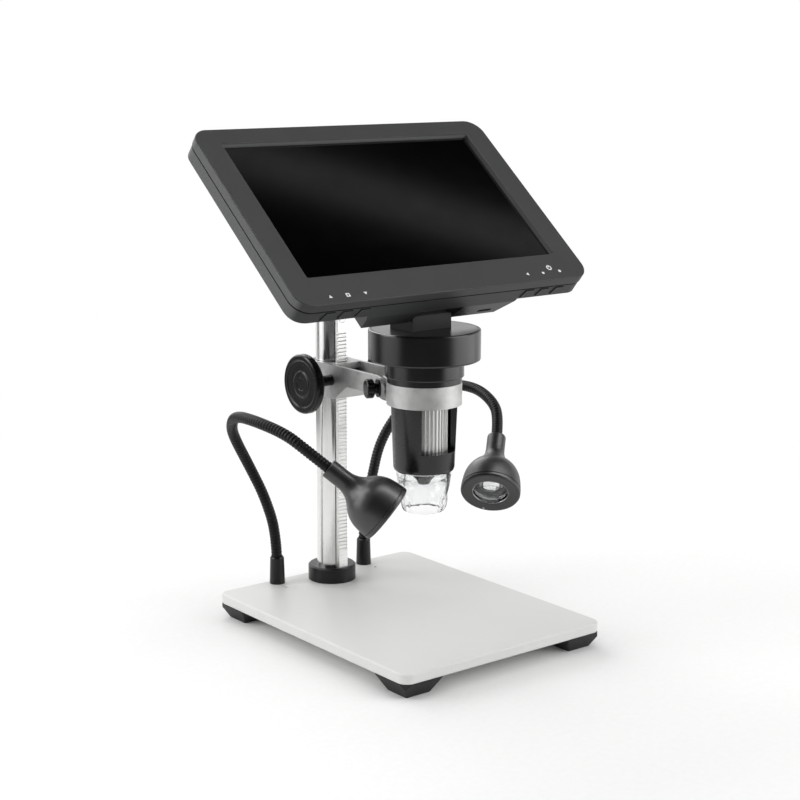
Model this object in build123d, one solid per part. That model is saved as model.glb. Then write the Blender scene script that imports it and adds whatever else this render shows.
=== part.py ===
from build123d import *
import os
from math import acos, cos, degrees, hypot, pi, radians, sin, sqrt, tan

# Bench microscope with its own tilting screen.
# Millimetres, +Z up, X along the front edge, the user stands at -Y.
# The origin is on the floor under the middle of the base plate.

# ---- fits shared by every sub-part ----------------------------------------
RUNNING_FIT = 0.06       # radial gap of a shaft that turns or slides in a bore
LOOSE_FIT = 0.25         # gap around keys, inset lids and other drop-in pieces
CLOSE_FIT = 0.1          # end play and slip fits inside one assembly
CUT_OVER = 0.1           # how far a cut runs past the face it opens

# ---- base -----------------------------------------------------------------
PLATE_W = 131.0
PLATE_D = 164.0
PLATE_T = 5.5
PLATE_CORNER = 6.0
PLATE_CHAMFER = 0.7
FOOT_H = 8.0
FOOT_TOP = 24.0
FOOT_SOLE = 14.9
FOOT_CORNER = 0.8
FOOT_SCREW_R = 1.9
FOOT_SCREW_HEAD_R = 3.4
FOOT_SCREW_SUNK = 2.6
FOOT_SCREW_BITE = 3.3               # screw length in the plate
STAGE = FOOT_H + PLATE_T             # height of the working surface

# ---- column ---------------------------------------------------------------
COLUMN_EDGE = 15.9                   # column axis from the back of the plate
COLUMN_Y = PLATE_D / 2 - COLUMN_EDGE
COLUMN_R = 8.3
COLUMN_H = 152.0
COLUMN_BORE_R = 2.6
COLLAR_R = 13.2
COLLAR_H = 8.6
COLLAR_CHAMFER = 0.8
CAP_H = 4.0
CAP_PLUG_H = 6.0
CAP_CHAMFER = 1.0
BOLT_HEAD_R = 5.0
BOLT_HEAD_H = 4.0
BOLT_REACH = 14.0

# ---- rack and pinion ------------------------------------------------------
MODULE = 0.64
PINION_TEETH = 12
PRESSURE_ANGLE = 20.0
RACK_W = 5.6
RACK_SEAT = 5.2                      # back of the rack from the column axis
RACK_LINE = 10.4                     # rack pitch line from the column axis
RACK_ADDENDUM = 0.7 * MODULE
RACK_DEDENDUM = 1.25 * MODULE
RACK_SLOT_GAP = 0.35
RACK_PLAIN_FOOT = 18.0               # left untoothed above the stage
RACK_PLAIN_TOP = 10.0                # and below the column's top
RACK_SCREW_R = 1.2
RACK_SCREW_HEAD_R = 2.1
RACK_SCREW_HEAD_H = 1.2
RACK_SCREW_SHORT = 1.0               # left between screw and column bore
RACK_SCREW_TOP = 4.0                 # upper screw below the column top
MESH_BACKLASH = 0.14
PINION_ADDENDUM = 0.9 * MODULE
PINION_FACE = 10.0
SHAFT_R = 1.8

# ---- carriage -------------------------------------------------------------
REACH = 81.1                         # column axis to optical axis
FOCUS_RISE = 116.0                   # pinion axis above the stage
BODY_HALF_W = 10.5
BODY_TOP = 8.4                       # above the pinion axis
BODY_DROP = 10.0                     # below the pinion axis
ARM_DROP = 1.6
SLEEVE_R = 11.5
BUSH_WALL = 1.3
CHEEK = 2.0
RACK_WAY_GAP = 0.6                   # around the rack where the carriage slides past
PINION_CAVITY = 1.4
ROOF = 3.4
NOSE_Y = 14.7                        # front of the cast body from the pinion
NOSE_RUN = 6.0
NOSE_RISE = 4.2
NOSE_HEEL_Y = 3.4
POCKET_NOSE = 2.6
POCKET_NOSE_RUN = 8.0
POCKET_FLOOR = 5.4
POCKET_LIP = 1.0
RING_OVERLAP = 1.0
CLAMP_OUTER_R = 19.4
CLAMP_DROP = 3.0                     # ring below the pinion axis
CLAMP_COLLAR = 0.2                   # tube's collar in the ring, over its own top radius
EAR_ANGLE = 158.3                    # way the clamp screw's ear faces
EAR_REACH = 27.0                     # the ear leaves the left cheek this far behind the tube
EAR_L = 10.0
EAR_T = 1.4
EAR_DROP = 1.9
EAR_ROUND = 3.0
SLIT = 1.6                           # between the ear and the ring's free end
RING_SPLIT_ANGLE = 76.0
LUG_W = 8.0
LUG_DEEP = 7.0
CLAMP_SCREW_R = 2.0
CLAMP_SCREW_SEAT = 1.2
CLAMP_SCREW_BACK = 4.3               # screw axis from the ear's free end
CLAMP_SCREW_RISE = 2.9               # above the pinion axis
CLAMP_WASHER_R = 4.7
CLAMP_WASHER_T = 0.8
CLAMP_WASHER_GAP = 0.2
CLAMP_NECK = 2.2
CLAMP_NECK_WALL = 0.9
CLAMP_KNOB_R = 5.0
CLAMP_KNOB_T = 4.0
CLAMP_KNOB_FLUTES = 16
CLAMP_FLUTE_R = 0.6
CLAMP_KNOB_EDGE = 0.5
KNOB_R = 16.0
KNOB_T = 5.0
KNOB_FACE = 30.4                     # outer face from the middle plane
KNOB_HUB_R = 2.9
KNOB_DISH_R = 12.6
KNOB_DISH = 0.7
KNOB_BOSS_R = 6.6
KNOB_EDGE = 0.8
KNOB_DISH_EDGE = 0.6
KNOB_HUB_GAP = 0.3
AXLE_BUSH_R = 3.1

# ---- camera tube ----------------------------------------------------------
TUBE_TOP_R = 17.1
TUBE_LOW_R = 15.9
TUBE_RISE = 78.0                     # bottom of the tube above the stage
TUBE_ROUND = 2.0
TUBE_ROUND_LOW = 0.5
TUBE_ROUND_HIGH = 0.6
TUBE_LEDGE = 1.2                     # step under the sensor board
TUBE_LEDGE_DEEP = 4.6                # that step below the top of the ring
FLANGE_R = 19.3
FLANGE_T = 3.0
TUBE_WALL = 2.2
WINDOW_HALF_ANGLE = 43.5
WINDOW_SILL = 11.0                   # window above the bottom of the tube
WINDOW_LAP = 1.0                     # overlap of the window cut and the bore
WHEEL_R = 12.3
WHEEL_SILL = 1.2                     # wheel seat below the window
WHEEL_SHORT = 3.0                    # wheel below the sensor board's step
RIB_COUNT = 36
RIB_DEPTH = 0.55
BARREL_R = 6.4
BARREL_WALL = 1.1
BARREL_TIP_R = 2.6
BARREL_DROP = 6.8                    # barrel tip below the tube
BARREL_CONE_H = 4.4
BARREL_H = 24.0
BARREL_LIP = 0.4
BARREL_SHOULDER = 1.0
LENS_T = 1.2
FRONT_LENS_BACK = 0.3
REAR_LENS_UP = 3.0
FRONT_LENS_R = 1.8
LED_RING_T = 1.4
LED_RING_INNER_R = 7.8
LED_COUNT = 8
LED_CIRCLE_R = 10.3
LED_R = 1.4
LED_H = 2.2
HOOD_TOP_R = 14.3
HOOD_LOW_R = 11.2
HOOD_WALL = 1.3
HOOD_STEP = 0.9                      # spigot smaller than the skirt
HOOD_LIP = 1.2
HOOD_LIP_H = 1.4
HOOD_WAIST_H = 9.5
HOOD_COLLAR_H = 3.2
HOOD_BUMP_H = 5.0
HOOD_BUMP_SUNK = 0.7
HOOD_DROP = 21.6                     # mouth of the hood below the tube
HOOD_SPIGOT_H = 2.6
HOOD_BUMPS = 8
HOOD_BUMP_R = 1.5
SENSOR_BOARD_T = 1.6
CHIP = 7.0
CHIP_T = 1.6

# ---- head disc and hinge post --------------------------------------------
NECK_R = 20.4
NECK_H = 8.6
DISC_R = 28.8
DISC_H = 15.9
DISC_WALL = 2.0
DISC_EDGE = 0.8
DISC_TOP_EDGE = 0.5
LID_SEAT = 4.0                       # lid ledge from the disc's outside
CABLE_R = 2.5                        # cable way through the lid and post
LID_T = 1.8
LID_EDGE = 1.3
POST_HALF_W = 12.55
POST_SHOULDER = 7.7
POST_CHAMFER = 5.1
TONGUE_HALF_W = 5.2
POST_FRONT = 6.7                     # in front of the hinge axis
POST_BACK = 11.8
POST_ROOF = 1.5
POST_LEAN = 0.6
POST_LEAN_H = 1.6
HINGE_BEHIND = 0.6                   # hinge axis behind the optical axis
HINGE_RISE = 16.6                    # hinge axis above the disc
HINGE_BARREL_R = 4.4
HINGE_PIN_R = 1.8
HINGE_PIN_HEAD_R = 3.0
HINGE_PIN_HEAD_T = 1.2
WASHER_R = 3.3
EAR_INNER = 9.5
EAR_R = 5.0

# ---- screen ---------------------------------------------------------------
SCREEN_LEAN = 50.7                   # back from upright
SCREEN_W = 187.2
SCREEN_H = 122.4
SCREEN_CORNER = 9.5
HINGE_BELOW = 45.6                   # hinge below the middle of the screen
HINGE_DEEP = 19.6                    # hinge behind the front face
BEZEL_D = 5.8
SHELL_D = 13.8
SHELL_INSET = 0.3
BULGE_D = 26.0
CASE_WALL = 2.0
VIEW_SIDE = 13.7                     # frame each side of the picture
VIEW_EDGE = 15.2                     # mean of the frame above and below it
VIEW_CORNER = 0.5
VIEW_UP = 3.5
VIEW_BEVEL = 1.1
BEVEL_D = 1.6
BEZEL_FACE_T = 2.2
FACE_EDGE = 0.8
GLASS_T = 1.0
GLASS_LAP = 1.0
PANEL_LAP_SIDE = 3.4
PANEL_LAP_EDGE = 4.0
PANEL_CORNER = 1.0
PANEL_T = 3.6
BULGE_GAP = 0.7                      # between the bulge and the nearest key
BULGE_SLOPE = 5.5
BULGE_TOP = -8.0                     # from the middle of the screen
BULGE_CHAMFER = 4.4
BULGE_TOE = 0.4
SHELL_CHAMFER = 1.6
CHANNEL_HALF_W = 13.6
CHANNEL_TOP = -31.0
BOARD_SIDE = 33.8                    # board from the side of the case
BOARD_H = 58.0
BOARD_T = 1.4
BOARD_UP = 24.0                      # top edge above the bulge's top
PILLAR_R = 2.2
PILLAR_EDGE = 1.0
BOARD_GAP = 1.4                      # between the display and the board
PROCESSOR = 14.0
PROCESSOR_T = 1.2
PROCESSOR_X = -8.0
PROCESSOR_UP = 12.0
BATTERY_SIDE = 9.6                   # battery from the end of the bulge
BATTERY_GAP = 0.6
BATTERY_UP = 1.0
BATTERY_CORNER = 1.5
BATTERY_H = 30.0
BATTERY_T = 8.0
SLOT_SIDE = 15.5                     # card slot from the end of the bulge
SLOT_DEEP = 21.8                     # behind the front face
SLOT_W = 9.0
SLOT_H = 2.4
READER_W = 13.0
READER_L = 10.0
READER_T = 3.6
KEY_W = 7.6
KEY_D = 4.4
KEY_PITCH = 10.4
KEY_CORNER = 19.5                    # last key from the side of the case
KEY_SEAT = 0.1
KEY_PROUD = 0.5
KEY_FLANGE = 0.6
KEY_FLANGE_T = 1.0
KEY_TRAVEL = 0.6
SWITCH_T = 1.4
KEY_SLANT = 2.2
KEY_FRONT = 6.5                      # behind the front face
SCREW_POST_SIDE = 6.5                # screw posts from the side of the case
SCREW_POST_EDGE = 6.6
SCREW_POST_R = 2.9
CASE_SCREW_R = 1.2
CASE_SCREW_HEAD_R = 2.3
CASE_SCREW_HEAD_T = 1.4
CASE_SCREW_SUNK = 0.4
CASE_SCREW_SHORT = 0.5

# ---- lamps ----------------------------------------------------------------
SOCKET_X = 30.0
SOCKET_EDGE = 5.5                    # socket axis from the back of the plate
SOCKET_Y = PLATE_D / 2 - SOCKET_EDGE
SOCKET_H = 15.3
SOCKET_FOOT_R = 4.25
SOCKET_TOP_R = 3.85
SOCKET_STEM_R = 3.4
SOCKET_ROUND_H = 0.8
SOCKET_ROUND = 0.5
SOCKET_NUT_R = 5.4
SOCKET_NUT_T = 2.4
HOSE_R = 3.0
HOSE_SEAT = 6.0
LAMP_LEN = 38.2
LAMP_R = 15.75
LAMP_WALL = 1.4
LAMP_SLEEVE_R = 5.0
LAMP_SLEEVE_H = 11.5
LAMP_SLEEVE_ROUND = 0.8
LAMP_STEP = 0.6                      # bell wider than the sleeve where it starts
LAMP_EDGE = 1.0
LAMP_SPIGOT_H = 1.5
LAMP_SPIGOT_WALL = 1.3
LAMP_RING_H = 2.8
LAMP_FACE_T = 1.4
LAMP_WINDOW_R = 9.4
LAMP_LENS_T = 1.0
REFLECTOR_T = 0.6
REFLECTOR_DEPTH = 7.6
REFLECTOR_KNEE = 2.6
REFLECTOR_GAP = 0.3
EMITTER_R = 2.0
EMITTER_H = 1.0
EMITTER_BOARD_R = 5.5
EMITTER_BOARD_T = 1.2
# The right lamp's arm: corners of its route from the middle of its socket's foot.
HOSE_ROUTE = [
    (0.0, 0.0, HOSE_SEAT),
    (0.0, 0.0, 26.8),
    (6.6, 0.8, 49.2),
    (14.9, 4.3, 68.5),
    (25.7, 1.1, 85.3),
    (32.3, -5.6, 94.3),
    (40.6, -22.6, 104.0),
    (43.6, -45.2, 105.6),
    (38.8, -66.1, 101.6),
]
LAMP_AT = (26.0, -84.6, 86.0)        # where the right arm enters its lamp
HOSE_TAIL = 14.0                     # straight run into the lamp
LAMP_AIM = (-0.577, -0.535, -0.618)
# Bell of the lamp: share of its length from the sleeve, share of its swell.
BELL_CURVE = [(0.0, 0.0), (0.1506, 0.069), (0.2971, 0.3153), (0.4184, 0.6207), (0.5983, 0.8522),
              (0.8117, 0.9803), (1.0, 1.0)]

UP = (Align.CENTER, Align.CENTER, Align.MIN)


# ---- small helpers --------------------------------------------------------
def rod(radius, height, z=0.0):
    return Pos(0, 0, z) * Cylinder(radius, height, align=UP)


def pipe(outer, inner, height, z=0.0):
    return rod(outer, height, z) - rod(inner, height, z)


def block(width, depth, height, z=0.0):
    return Pos(0, 0, z) * Box(width, depth, height, align=UP)


def slab(width, depth, height, corner, z=0.0):
    return Pos(0, 0, z) * extrude(RectangleRounded(width, depth, corner), height)


def turned(outline):
    """Solid of revolution about Z from (radius, height) corners."""
    face = Plane.XZ * make_face(Polyline(*outline, close=True))
    return revolve(face, Axis.Z)


def along_x(solid):
    """Stand a Z-built solid along X, its middle at the origin."""
    return Rot(0, 90, 0) * solid


def joined(solids):
    """One node made of several loose solids."""
    return Compound([solid for shape in solids for solid in shape.solids()])


def plan_prism(outline, low, high):
    """Prism on a plan outline between two heights."""
    face = make_face(Polyline(*outline, close=True))
    return Pos(0, 0, low) * extrude(face, high - low)


def hexagon(across_corners, height, z=0.0):
    return Pos(0, 0, z) * extrude(RegularPolygon(across_corners, 6), height)


# ---- places ---------------------------------------------------------------
SCOPE_Y = COLUMN_Y - REACH
FOCUS_Z = STAGE + FOCUS_RISE
TUBE_BOTTOM = STAGE + TUBE_RISE
WINDOW_BOTTOM = TUBE_BOTTOM + WINDOW_SILL
BARREL_BOTTOM = TUBE_BOTTOM - BARREL_DROP
HOOD_BOTTOM = TUBE_BOTTOM - HOOD_DROP
VIEW_W = SCREEN_W - 2 * VIEW_SIDE
VIEW_H = SCREEN_H - 2 * VIEW_EDGE
PANEL_W = VIEW_W + 2 * PANEL_LAP_SIDE
PANEL_H = VIEW_H + 2 * PANEL_LAP_EDGE
KEY_FIRST = SCREEN_W / 2 - KEY_CORNER - 2 * KEY_PITCH
BULGE_HALF_W = KEY_FIRST - KEY_W / 2 - BULGE_GAP
SLOT_X = BULGE_HALF_W - SLOT_SIDE
BATTERY_W = BULGE_HALF_W - CHANNEL_HALF_W - CASE_WALL - HINGE_PIN_HEAD_T - BATTERY_GAP - BATTERY_SIDE
BOARD_W = SCREEN_W - 2 * BOARD_SIDE
SCREW_POST_X = SCREEN_W / 2 - SCREW_POST_SIDE
SCREW_POST_Y = SCREEN_H / 2 - SCREW_POST_EDGE
PINION_R = MODULE * PINION_TEETH / 2
PITCH = pi * MODULE
PINION_Y = COLUMN_Y - RACK_LINE - PINION_R
CARRIAGE_TOP = FOCUS_Z + BODY_TOP
COLUMN_TOP = STAGE + COLUMN_H
DISC_TOP = CARRIAGE_TOP + FLANGE_T + NECK_H + DISC_H
HINGE_Y = SCOPE_Y + HINGE_BEHIND
HINGE_Z = DISC_TOP + HINGE_RISE
COLUMN = Pos(0, COLUMN_Y, 0)
SCOPE = Pos(0, SCOPE_Y, 0)
PINION = Pos(0, PINION_Y, FOCUS_Z)
HINGE = Pos(0, HINGE_Y, HINGE_Z)

lean = radians(SCREEN_LEAN)
screen_up = Vector(0, sin(lean), cos(lean))
screen_out = Vector(0, -cos(lean), sin(lean))
screen_middle = Vector(0, HINGE_Y, HINGE_Z) + screen_up * HINGE_BELOW + screen_out * HINGE_DEEP
# In the screen's own frame X is sideways, Y is up the screen, Z is out of its face.
SCREEN = Plane(origin=screen_middle, x_dir=(1, 0, 0), z_dir=screen_out).location


# ---- base -----------------------------------------------------------------
def foot_places():
    reach_x = PLATE_W / 2 - FOOT_TOP / 2
    reach_y = PLATE_D / 2 - FOOT_TOP / 2
    return [Pos(sx * reach_x, sy * reach_y, 0) for sx in (-1, 1) for sy in (-1, 1)]


def base_plate():
    plate = slab(PLATE_W, PLATE_D, PLATE_T, PLATE_CORNER, FOOT_H)
    plate = chamfer(plate.faces().sort_by(Axis.Z)[-1].edges(), PLATE_CHAMFER)
    plate -= COLUMN * rod(COLUMN_BORE_R + RUNNING_FIT, PLATE_T, FOOT_H)
    for side in (-1, 1):
        plate -= Pos(side * SOCKET_X, SOCKET_Y, FOOT_H) * rod(SOCKET_STEM_R, PLATE_T)
    for place in foot_places():
        plate -= place * rod(FOOT_SCREW_R, FOOT_SCREW_BITE, FOOT_H)
    return plate


def foot(place):
    top = Pos(0, 0, FOOT_H) * RectangleRounded(FOOT_TOP, FOOT_TOP, FOOT_CORNER)
    sole = RectangleRounded(FOOT_SOLE, FOOT_SOLE, FOOT_CORNER)
    wedge = loft([sole, top])
    wedge -= rod(FOOT_SCREW_HEAD_R + LOOSE_FIT, FOOT_SCREW_SUNK)
    wedge -= rod(FOOT_SCREW_R, FOOT_H)
    return place * wedge & slab(PLATE_W, PLATE_D, FOOT_H, PLATE_CORNER, 0)


def foot_screw(place):
    head_t = FOOT_SCREW_SUNK / 2
    screw = rod(FOOT_SCREW_HEAD_R, head_t, FOOT_SCREW_SUNK - head_t)
    screw += rod(FOOT_SCREW_R, FOOT_H - FOOT_SCREW_SUNK + FOOT_SCREW_BITE, FOOT_SCREW_SUNK)
    return place * screw


# ---- column ---------------------------------------------------------------
def rack_tooth_heights():
    """Middle heights of the teeth; a gap faces the pinion at rest."""
    first = int((STAGE + RACK_PLAIN_FOOT - FOCUS_Z) / PITCH)
    last = int((COLUMN_TOP - RACK_PLAIN_TOP - FOCUS_Z) / PITCH)
    return [FOCUS_Z + (k + 0.5) * PITCH for k in range(first, last)]


def gear_rack():
    """Flat bar with straight-sided teeth along its front."""
    slope = tan(radians(PRESSURE_ANGLE))
    half = PITCH / 4
    tip_y = -(RACK_LINE + RACK_ADDENDUM)
    root_y = -(RACK_LINE - RACK_DEDENDUM)
    tip_half = half - RACK_ADDENDUM * slope
    root_half = half + RACK_DEDENDUM * slope
    heights = rack_tooth_heights()
    low = heights[0] - PITCH
    high = heights[-1] + PITCH
    outline = [(-RACK_SEAT, STAGE), (tip_y, STAGE), (tip_y, low + tip_half), (root_y, low + root_half)]
    for z in heights:
        outline += [(root_y, z - root_half), (tip_y, z - tip_half),
                    (tip_y, z + tip_half), (root_y, z + root_half)]
    outline += [(root_y, high - root_half), (tip_y, high - tip_half),
                (tip_y, COLUMN_TOP), (-RACK_SEAT, COLUMN_TOP)]
    face = Plane.YZ * make_face(Polyline(*outline, close=True))
    bar = COLUMN * Pos(-RACK_W / 2, 0, 0) * extrude(face, RACK_W)
    for z in rack_screw_heights():
        bar -= screw_into_rack(z, LOOSE_FIT)
    return bar


def rack_screw_heights():
    return [STAGE + COLLAR_H / 2, COLUMN_TOP - RACK_SCREW_TOP]


def screw_into_rack(z, gap=0.0):
    """Countersunk screw whose head is flush with the rack's front."""
    front = RACK_LINE + RACK_ADDENDUM
    length = front - COLUMN_BORE_R - RACK_SCREW_SHORT
    screw = rod(RACK_SCREW_R, length) + rod(RACK_SCREW_HEAD_R + gap, RACK_SCREW_HEAD_H,
                                            length - RACK_SCREW_HEAD_H)
    return COLUMN * Pos(0, -COLUMN_BORE_R - RACK_SCREW_SHORT, z) * (Rot(90, 0, 0) * screw)


def column_tube():
    tube = COLUMN * pipe(COLUMN_R, COLUMN_BORE_R, COLUMN_H, STAGE)
    slot_w = RACK_W + 2 * RACK_SLOT_GAP
    slot_d = COLUMN_R
    tube -= COLUMN * Pos(0, -RACK_SEAT - slot_d / 2, 0) * block(slot_w, slot_d, COLUMN_H, STAGE)
    for z in rack_screw_heights():
        tube -= screw_into_rack(z)
    return tube


def rack_clearance(gap, height, z):
    """Space around the part of the rack that stands out of the column."""
    front = RACK_LINE + RACK_ADDENDUM + gap
    return COLUMN * Pos(0, -front / 2, 0) * block(RACK_W + 2 * gap, front, height, z)


def column_collar():
    collar = COLUMN * rod(COLLAR_R, COLLAR_H, STAGE)
    collar = chamfer(collar.faces().sort_by(Axis.Z)[-1].edges(), COLLAR_CHAMFER)
    collar -= COLUMN * rod(COLUMN_R, COLLAR_H, STAGE)
    return collar - rack_clearance(LOOSE_FIT, COLLAR_H, STAGE)


def column_cap():
    cap = COLUMN * rod(COLUMN_R, CAP_H, COLUMN_TOP)
    cap = chamfer(cap.faces().sort_by(Axis.Z)[-1].edges(), CAP_CHAMFER)
    return cap + COLUMN * rod(COLUMN_BORE_R, CAP_PLUG_H, COLUMN_TOP - CAP_PLUG_H)


def column_bolt():
    bolt = rod(COLUMN_BORE_R, BOLT_REACH + PLATE_T, FOOT_H)
    bolt += hexagon(BOLT_HEAD_R, BOLT_HEAD_H, FOOT_H - BOLT_HEAD_H)
    return COLUMN * bolt


# ---- lamps ----------------------------------------------------------------
def at_socket(side):
    return Pos(side * SOCKET_X, SOCKET_Y, STAGE)


def lamp_socket(side):
    """Tapered sleeve on the plate with a threaded stem through it."""
    bore = HOSE_R + RUNNING_FIT
    sleeve = turned([(0, 0), (SOCKET_FOOT_R, 0), (SOCKET_TOP_R, SOCKET_H - SOCKET_ROUND_H),
                     (SOCKET_TOP_R - SOCKET_ROUND, SOCKET_H), (0, SOCKET_H)])
    sleeve -= rod(bore, SOCKET_H, HOSE_SEAT)
    stem = rod(SOCKET_STEM_R, PLATE_T + SOCKET_NUT_T, -PLATE_T - SOCKET_NUT_T)
    return at_socket(side) * (sleeve + stem)


def socket_nut(side):
    nut = hexagon(SOCKET_NUT_R, SOCKET_NUT_T) - rod(SOCKET_STEM_R, SOCKET_NUT_T)
    return at_socket(side) * Pos(0, 0, -PLATE_T - SOCKET_NUT_T) * nut


def hose_points(side):
    foot_x = SOCKET_X
    points = [Vector(side * (foot_x + x), SOCKET_Y + y, STAGE + z) for x, y, z in HOSE_ROUTE + [LAMP_AT]]
    end = points.pop()
    return points + [end - lamp_beam(side) * HOSE_TAIL, end]


def lamp_beam(side):
    return Vector(side * LAMP_AIM[0], LAMP_AIM[1], LAMP_AIM[2]).normalized()


def hose_radii(points):
    radii = []
    for before, at, after in zip(points, points[1:], points[2:]):
        turn = radians((at - before).get_angle(after - at))
        run = min((at - before).length, (after - at).length)
        radii.append(0.45 * run / tan(turn / 2))
    return radii


def hose(side):
    points = hose_points(side)
    path = FilletPolyline(*points, radius=hose_radii(points))
    start = Plane(origin=points[0], z_dir=points[1] - points[0])
    return sweep(start * Circle(HOSE_R), path=path, transition=Transition.ROUND)


def lamp_place(side):
    """Origin where the arm enters the head, Z along the beam."""
    beam = lamp_beam(side)
    return Plane(origin=hose_points(side)[-1], x_dir=(beam.Y, -beam.X, 0), z_dir=beam).location


def dome(grow):
    """Outline of the bell from the sleeve to the front ring, grown or shrunk."""
    length = LAMP_LEN - LAMP_RING_H - LAMP_SLEEVE_H
    waist = LAMP_SLEEVE_R + LAMP_STEP
    return [(waist + (LAMP_R - waist) * swell + grow, LAMP_SLEEVE_H + length * share)
            for share, swell in BELL_CURVE]


def bell(grow, tail):
    """Turned body under the dome outline, closed back to the axis at both ends."""
    curve = Spline(*dome(grow), tangents=[(0.12, 1), (0, 1)])
    ring = LAMP_LEN - LAMP_RING_H
    start = dome(grow)[0]
    back = Polyline(start, *tail, (0, ring), (LAMP_R + grow, ring))
    return revolve(Plane.XZ * make_face(curve + back), Axis.Z)


def lamp_shell(side):
    sleeve = [(LAMP_SLEEVE_R, LAMP_SLEEVE_ROUND), (LAMP_SLEEVE_R - LAMP_SLEEVE_ROUND, 0), (0, 0)]
    solid = bell(0, sleeve)
    hollow = bell(-LAMP_WALL, [(0, LAMP_SLEEVE_H)])
    return lamp_place(side) * (solid - hollow)


def lamp_ring(side):
    ring = LAMP_LEN - LAMP_RING_H
    face = LAMP_LEN - LAMP_FACE_T
    spigot = ring - LAMP_SPIGOT_H
    spigot_r = lamp_spigot_r()
    inner = lamp_seat_r()
    edge = LAMP_EDGE
    body = turned([(LAMP_WINDOW_R, LAMP_LEN), (LAMP_R - edge, LAMP_LEN), (LAMP_R, LAMP_LEN - edge),
                   (LAMP_R, ring), (spigot_r, ring), (spigot_r, spigot), (inner, spigot),
                   (inner, face), (LAMP_WINDOW_R, face)])
    return lamp_place(side) * body


def lamp_spigot_r():
    return LAMP_R - LAMP_WALL - CLOSE_FIT


def lamp_seat_r():
    return lamp_spigot_r() - LAMP_SPIGOT_WALL


def lamp_lens(side):
    return lamp_place(side) * rod(lamp_seat_r(), LAMP_LENS_T, LAMP_LEN - LAMP_FACE_T - LAMP_LENS_T)


def reflector_place():
    return LAMP_LEN - LAMP_FACE_T - LAMP_LENS_T - REFLECTOR_T


def lamp_reflector(side):
    z = reflector_place()
    wall = REFLECTOR_T
    rim = LAMP_WINDOW_R - 2 * CLOSE_FIT
    knee = z - REFLECTOR_DEPTH * 0.6
    mouth = EMITTER_R + REFLECTOR_GAP
    cup = turned([(lamp_seat_r(), z), (lamp_seat_r(), z + wall), (rim, z + wall),
                  (rim - REFLECTOR_KNEE, knee), (mouth, z - REFLECTOR_DEPTH),
                  (mouth, z - REFLECTOR_DEPTH - wall), (rim - REFLECTOR_KNEE + wall, knee - wall),
                  (rim + wall, z)])
    return lamp_place(side) * cup


def lamp_emitter(side):
    z = reflector_place() - REFLECTOR_DEPTH - REFLECTOR_T
    led = rod(EMITTER_BOARD_R, EMITTER_BOARD_T, z - EMITTER_BOARD_T) + rod(EMITTER_R, EMITTER_H, z)
    return lamp_place(side) * (led + Pos(0, 0, z + EMITTER_H) * dome_cap(EMITTER_R))


def dome_cap(radius):
    ball = Sphere(radius)
    return ball & rod(radius * 2, radius * 2)


# ---- carriage -------------------------------------------------------------
def side_profile():
    """Cast body seen from the side, as (Y from the pinion axis, Z from it)."""
    ring_back = SCOPE_Y + CLAMP_OUTER_R * 0.6 - PINION_Y
    column = COLUMN_Y - PINION_Y
    return [(column, -BODY_DROP), (-NOSE_HEEL_Y, -BODY_DROP), (NOSE_RUN - NOSE_Y, NOSE_RISE - BODY_DROP),
            (-NOSE_Y, -ARM_DROP), (ring_back, -ARM_DROP), (ring_back, BODY_TOP), (column, BODY_TOP)]


def pocket_profile():
    ring_back = SCOPE_Y + CLAMP_OUTER_R - RING_OVERLAP - PINION_Y
    lip = POCKET_LIP
    floor = POCKET_FLOOR - BODY_DROP
    return [(ring_back, -ARM_DROP - lip), (POCKET_NOSE - NOSE_Y, -ARM_DROP - lip),
            (POCKET_NOSE_RUN - NOSE_Y, floor), (0, floor), (0, BODY_TOP - ROOF),
            (-lip, BODY_TOP - ROOF), (-lip, BODY_TOP + lip), (ring_back, BODY_TOP + lip)]


def from_side(outline, half_width):
    face = Plane.YZ * make_face(Polyline(*outline, close=True))
    return PINION * Pos(-half_width, 0, 0) * extrude(face, 2 * half_width)


def clamp_frame():
    """At the tube's axis, X towards the clamp screw's knob, Y along the ear."""
    return Pos(0, SCOPE_Y, FOCUS_Z) * Rot(0, 0, EAR_ANGLE)


def ear_bend():
    """Where the ear leaves the left cheek, in the clamp's own frame."""
    turn = radians(EAR_ANGLE)
    out = -BODY_HALF_W * cos(turn) + EAR_REACH * sin(turn)
    along = BODY_HALF_W * sin(turn) + EAR_REACH * cos(turn)
    return out, along


def clamp_screw_place():
    out, along = ear_bend()
    at = Pos(out, along + EAR_L - CLAMP_SCREW_BACK, CLAMP_SCREW_RISE)
    return clamp_frame() * at * Rot(0, 90, 0)


def clamp_ear():
    """Tab bent out of the left cheek, with a rounded upper corner."""
    out, along = ear_bend()
    end = along + EAR_L
    overlap = EAR_T
    outline = [(along - overlap, -EAR_DROP), (end, -EAR_DROP), (end, BODY_TOP - EAR_ROUND),
               (end - EAR_ROUND * 0.3, BODY_TOP - EAR_ROUND * 0.3), (end - EAR_ROUND, BODY_TOP),
               (along - overlap, BODY_TOP)]
    face = Plane.YZ * make_face(Polyline(*outline, close=True))
    tab = clamp_frame() * Pos(out - EAR_T, 0, 0) * extrude(face, EAR_T)
    keep = Pos(-BODY_HALF_W - EAR_L, SCOPE_Y, 0) * block(
        2 * EAR_L + 2 * CHEEK, 4 * EAR_REACH, CARRIAGE_TOP)
    return tab & keep


def clamp_lug():
    """Pad on the ring's free end, facing the ear across the slit."""
    out, along = ear_bend()
    face = out - EAR_T - SLIT
    middle = along + EAR_L - CLAMP_SCREW_BACK
    pad = Pos(face - LUG_DEEP / 2, middle, 0) * block(LUG_DEEP, LUG_W, ring_height(), -CLAMP_DROP)
    return clamp_frame() * pad


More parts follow.
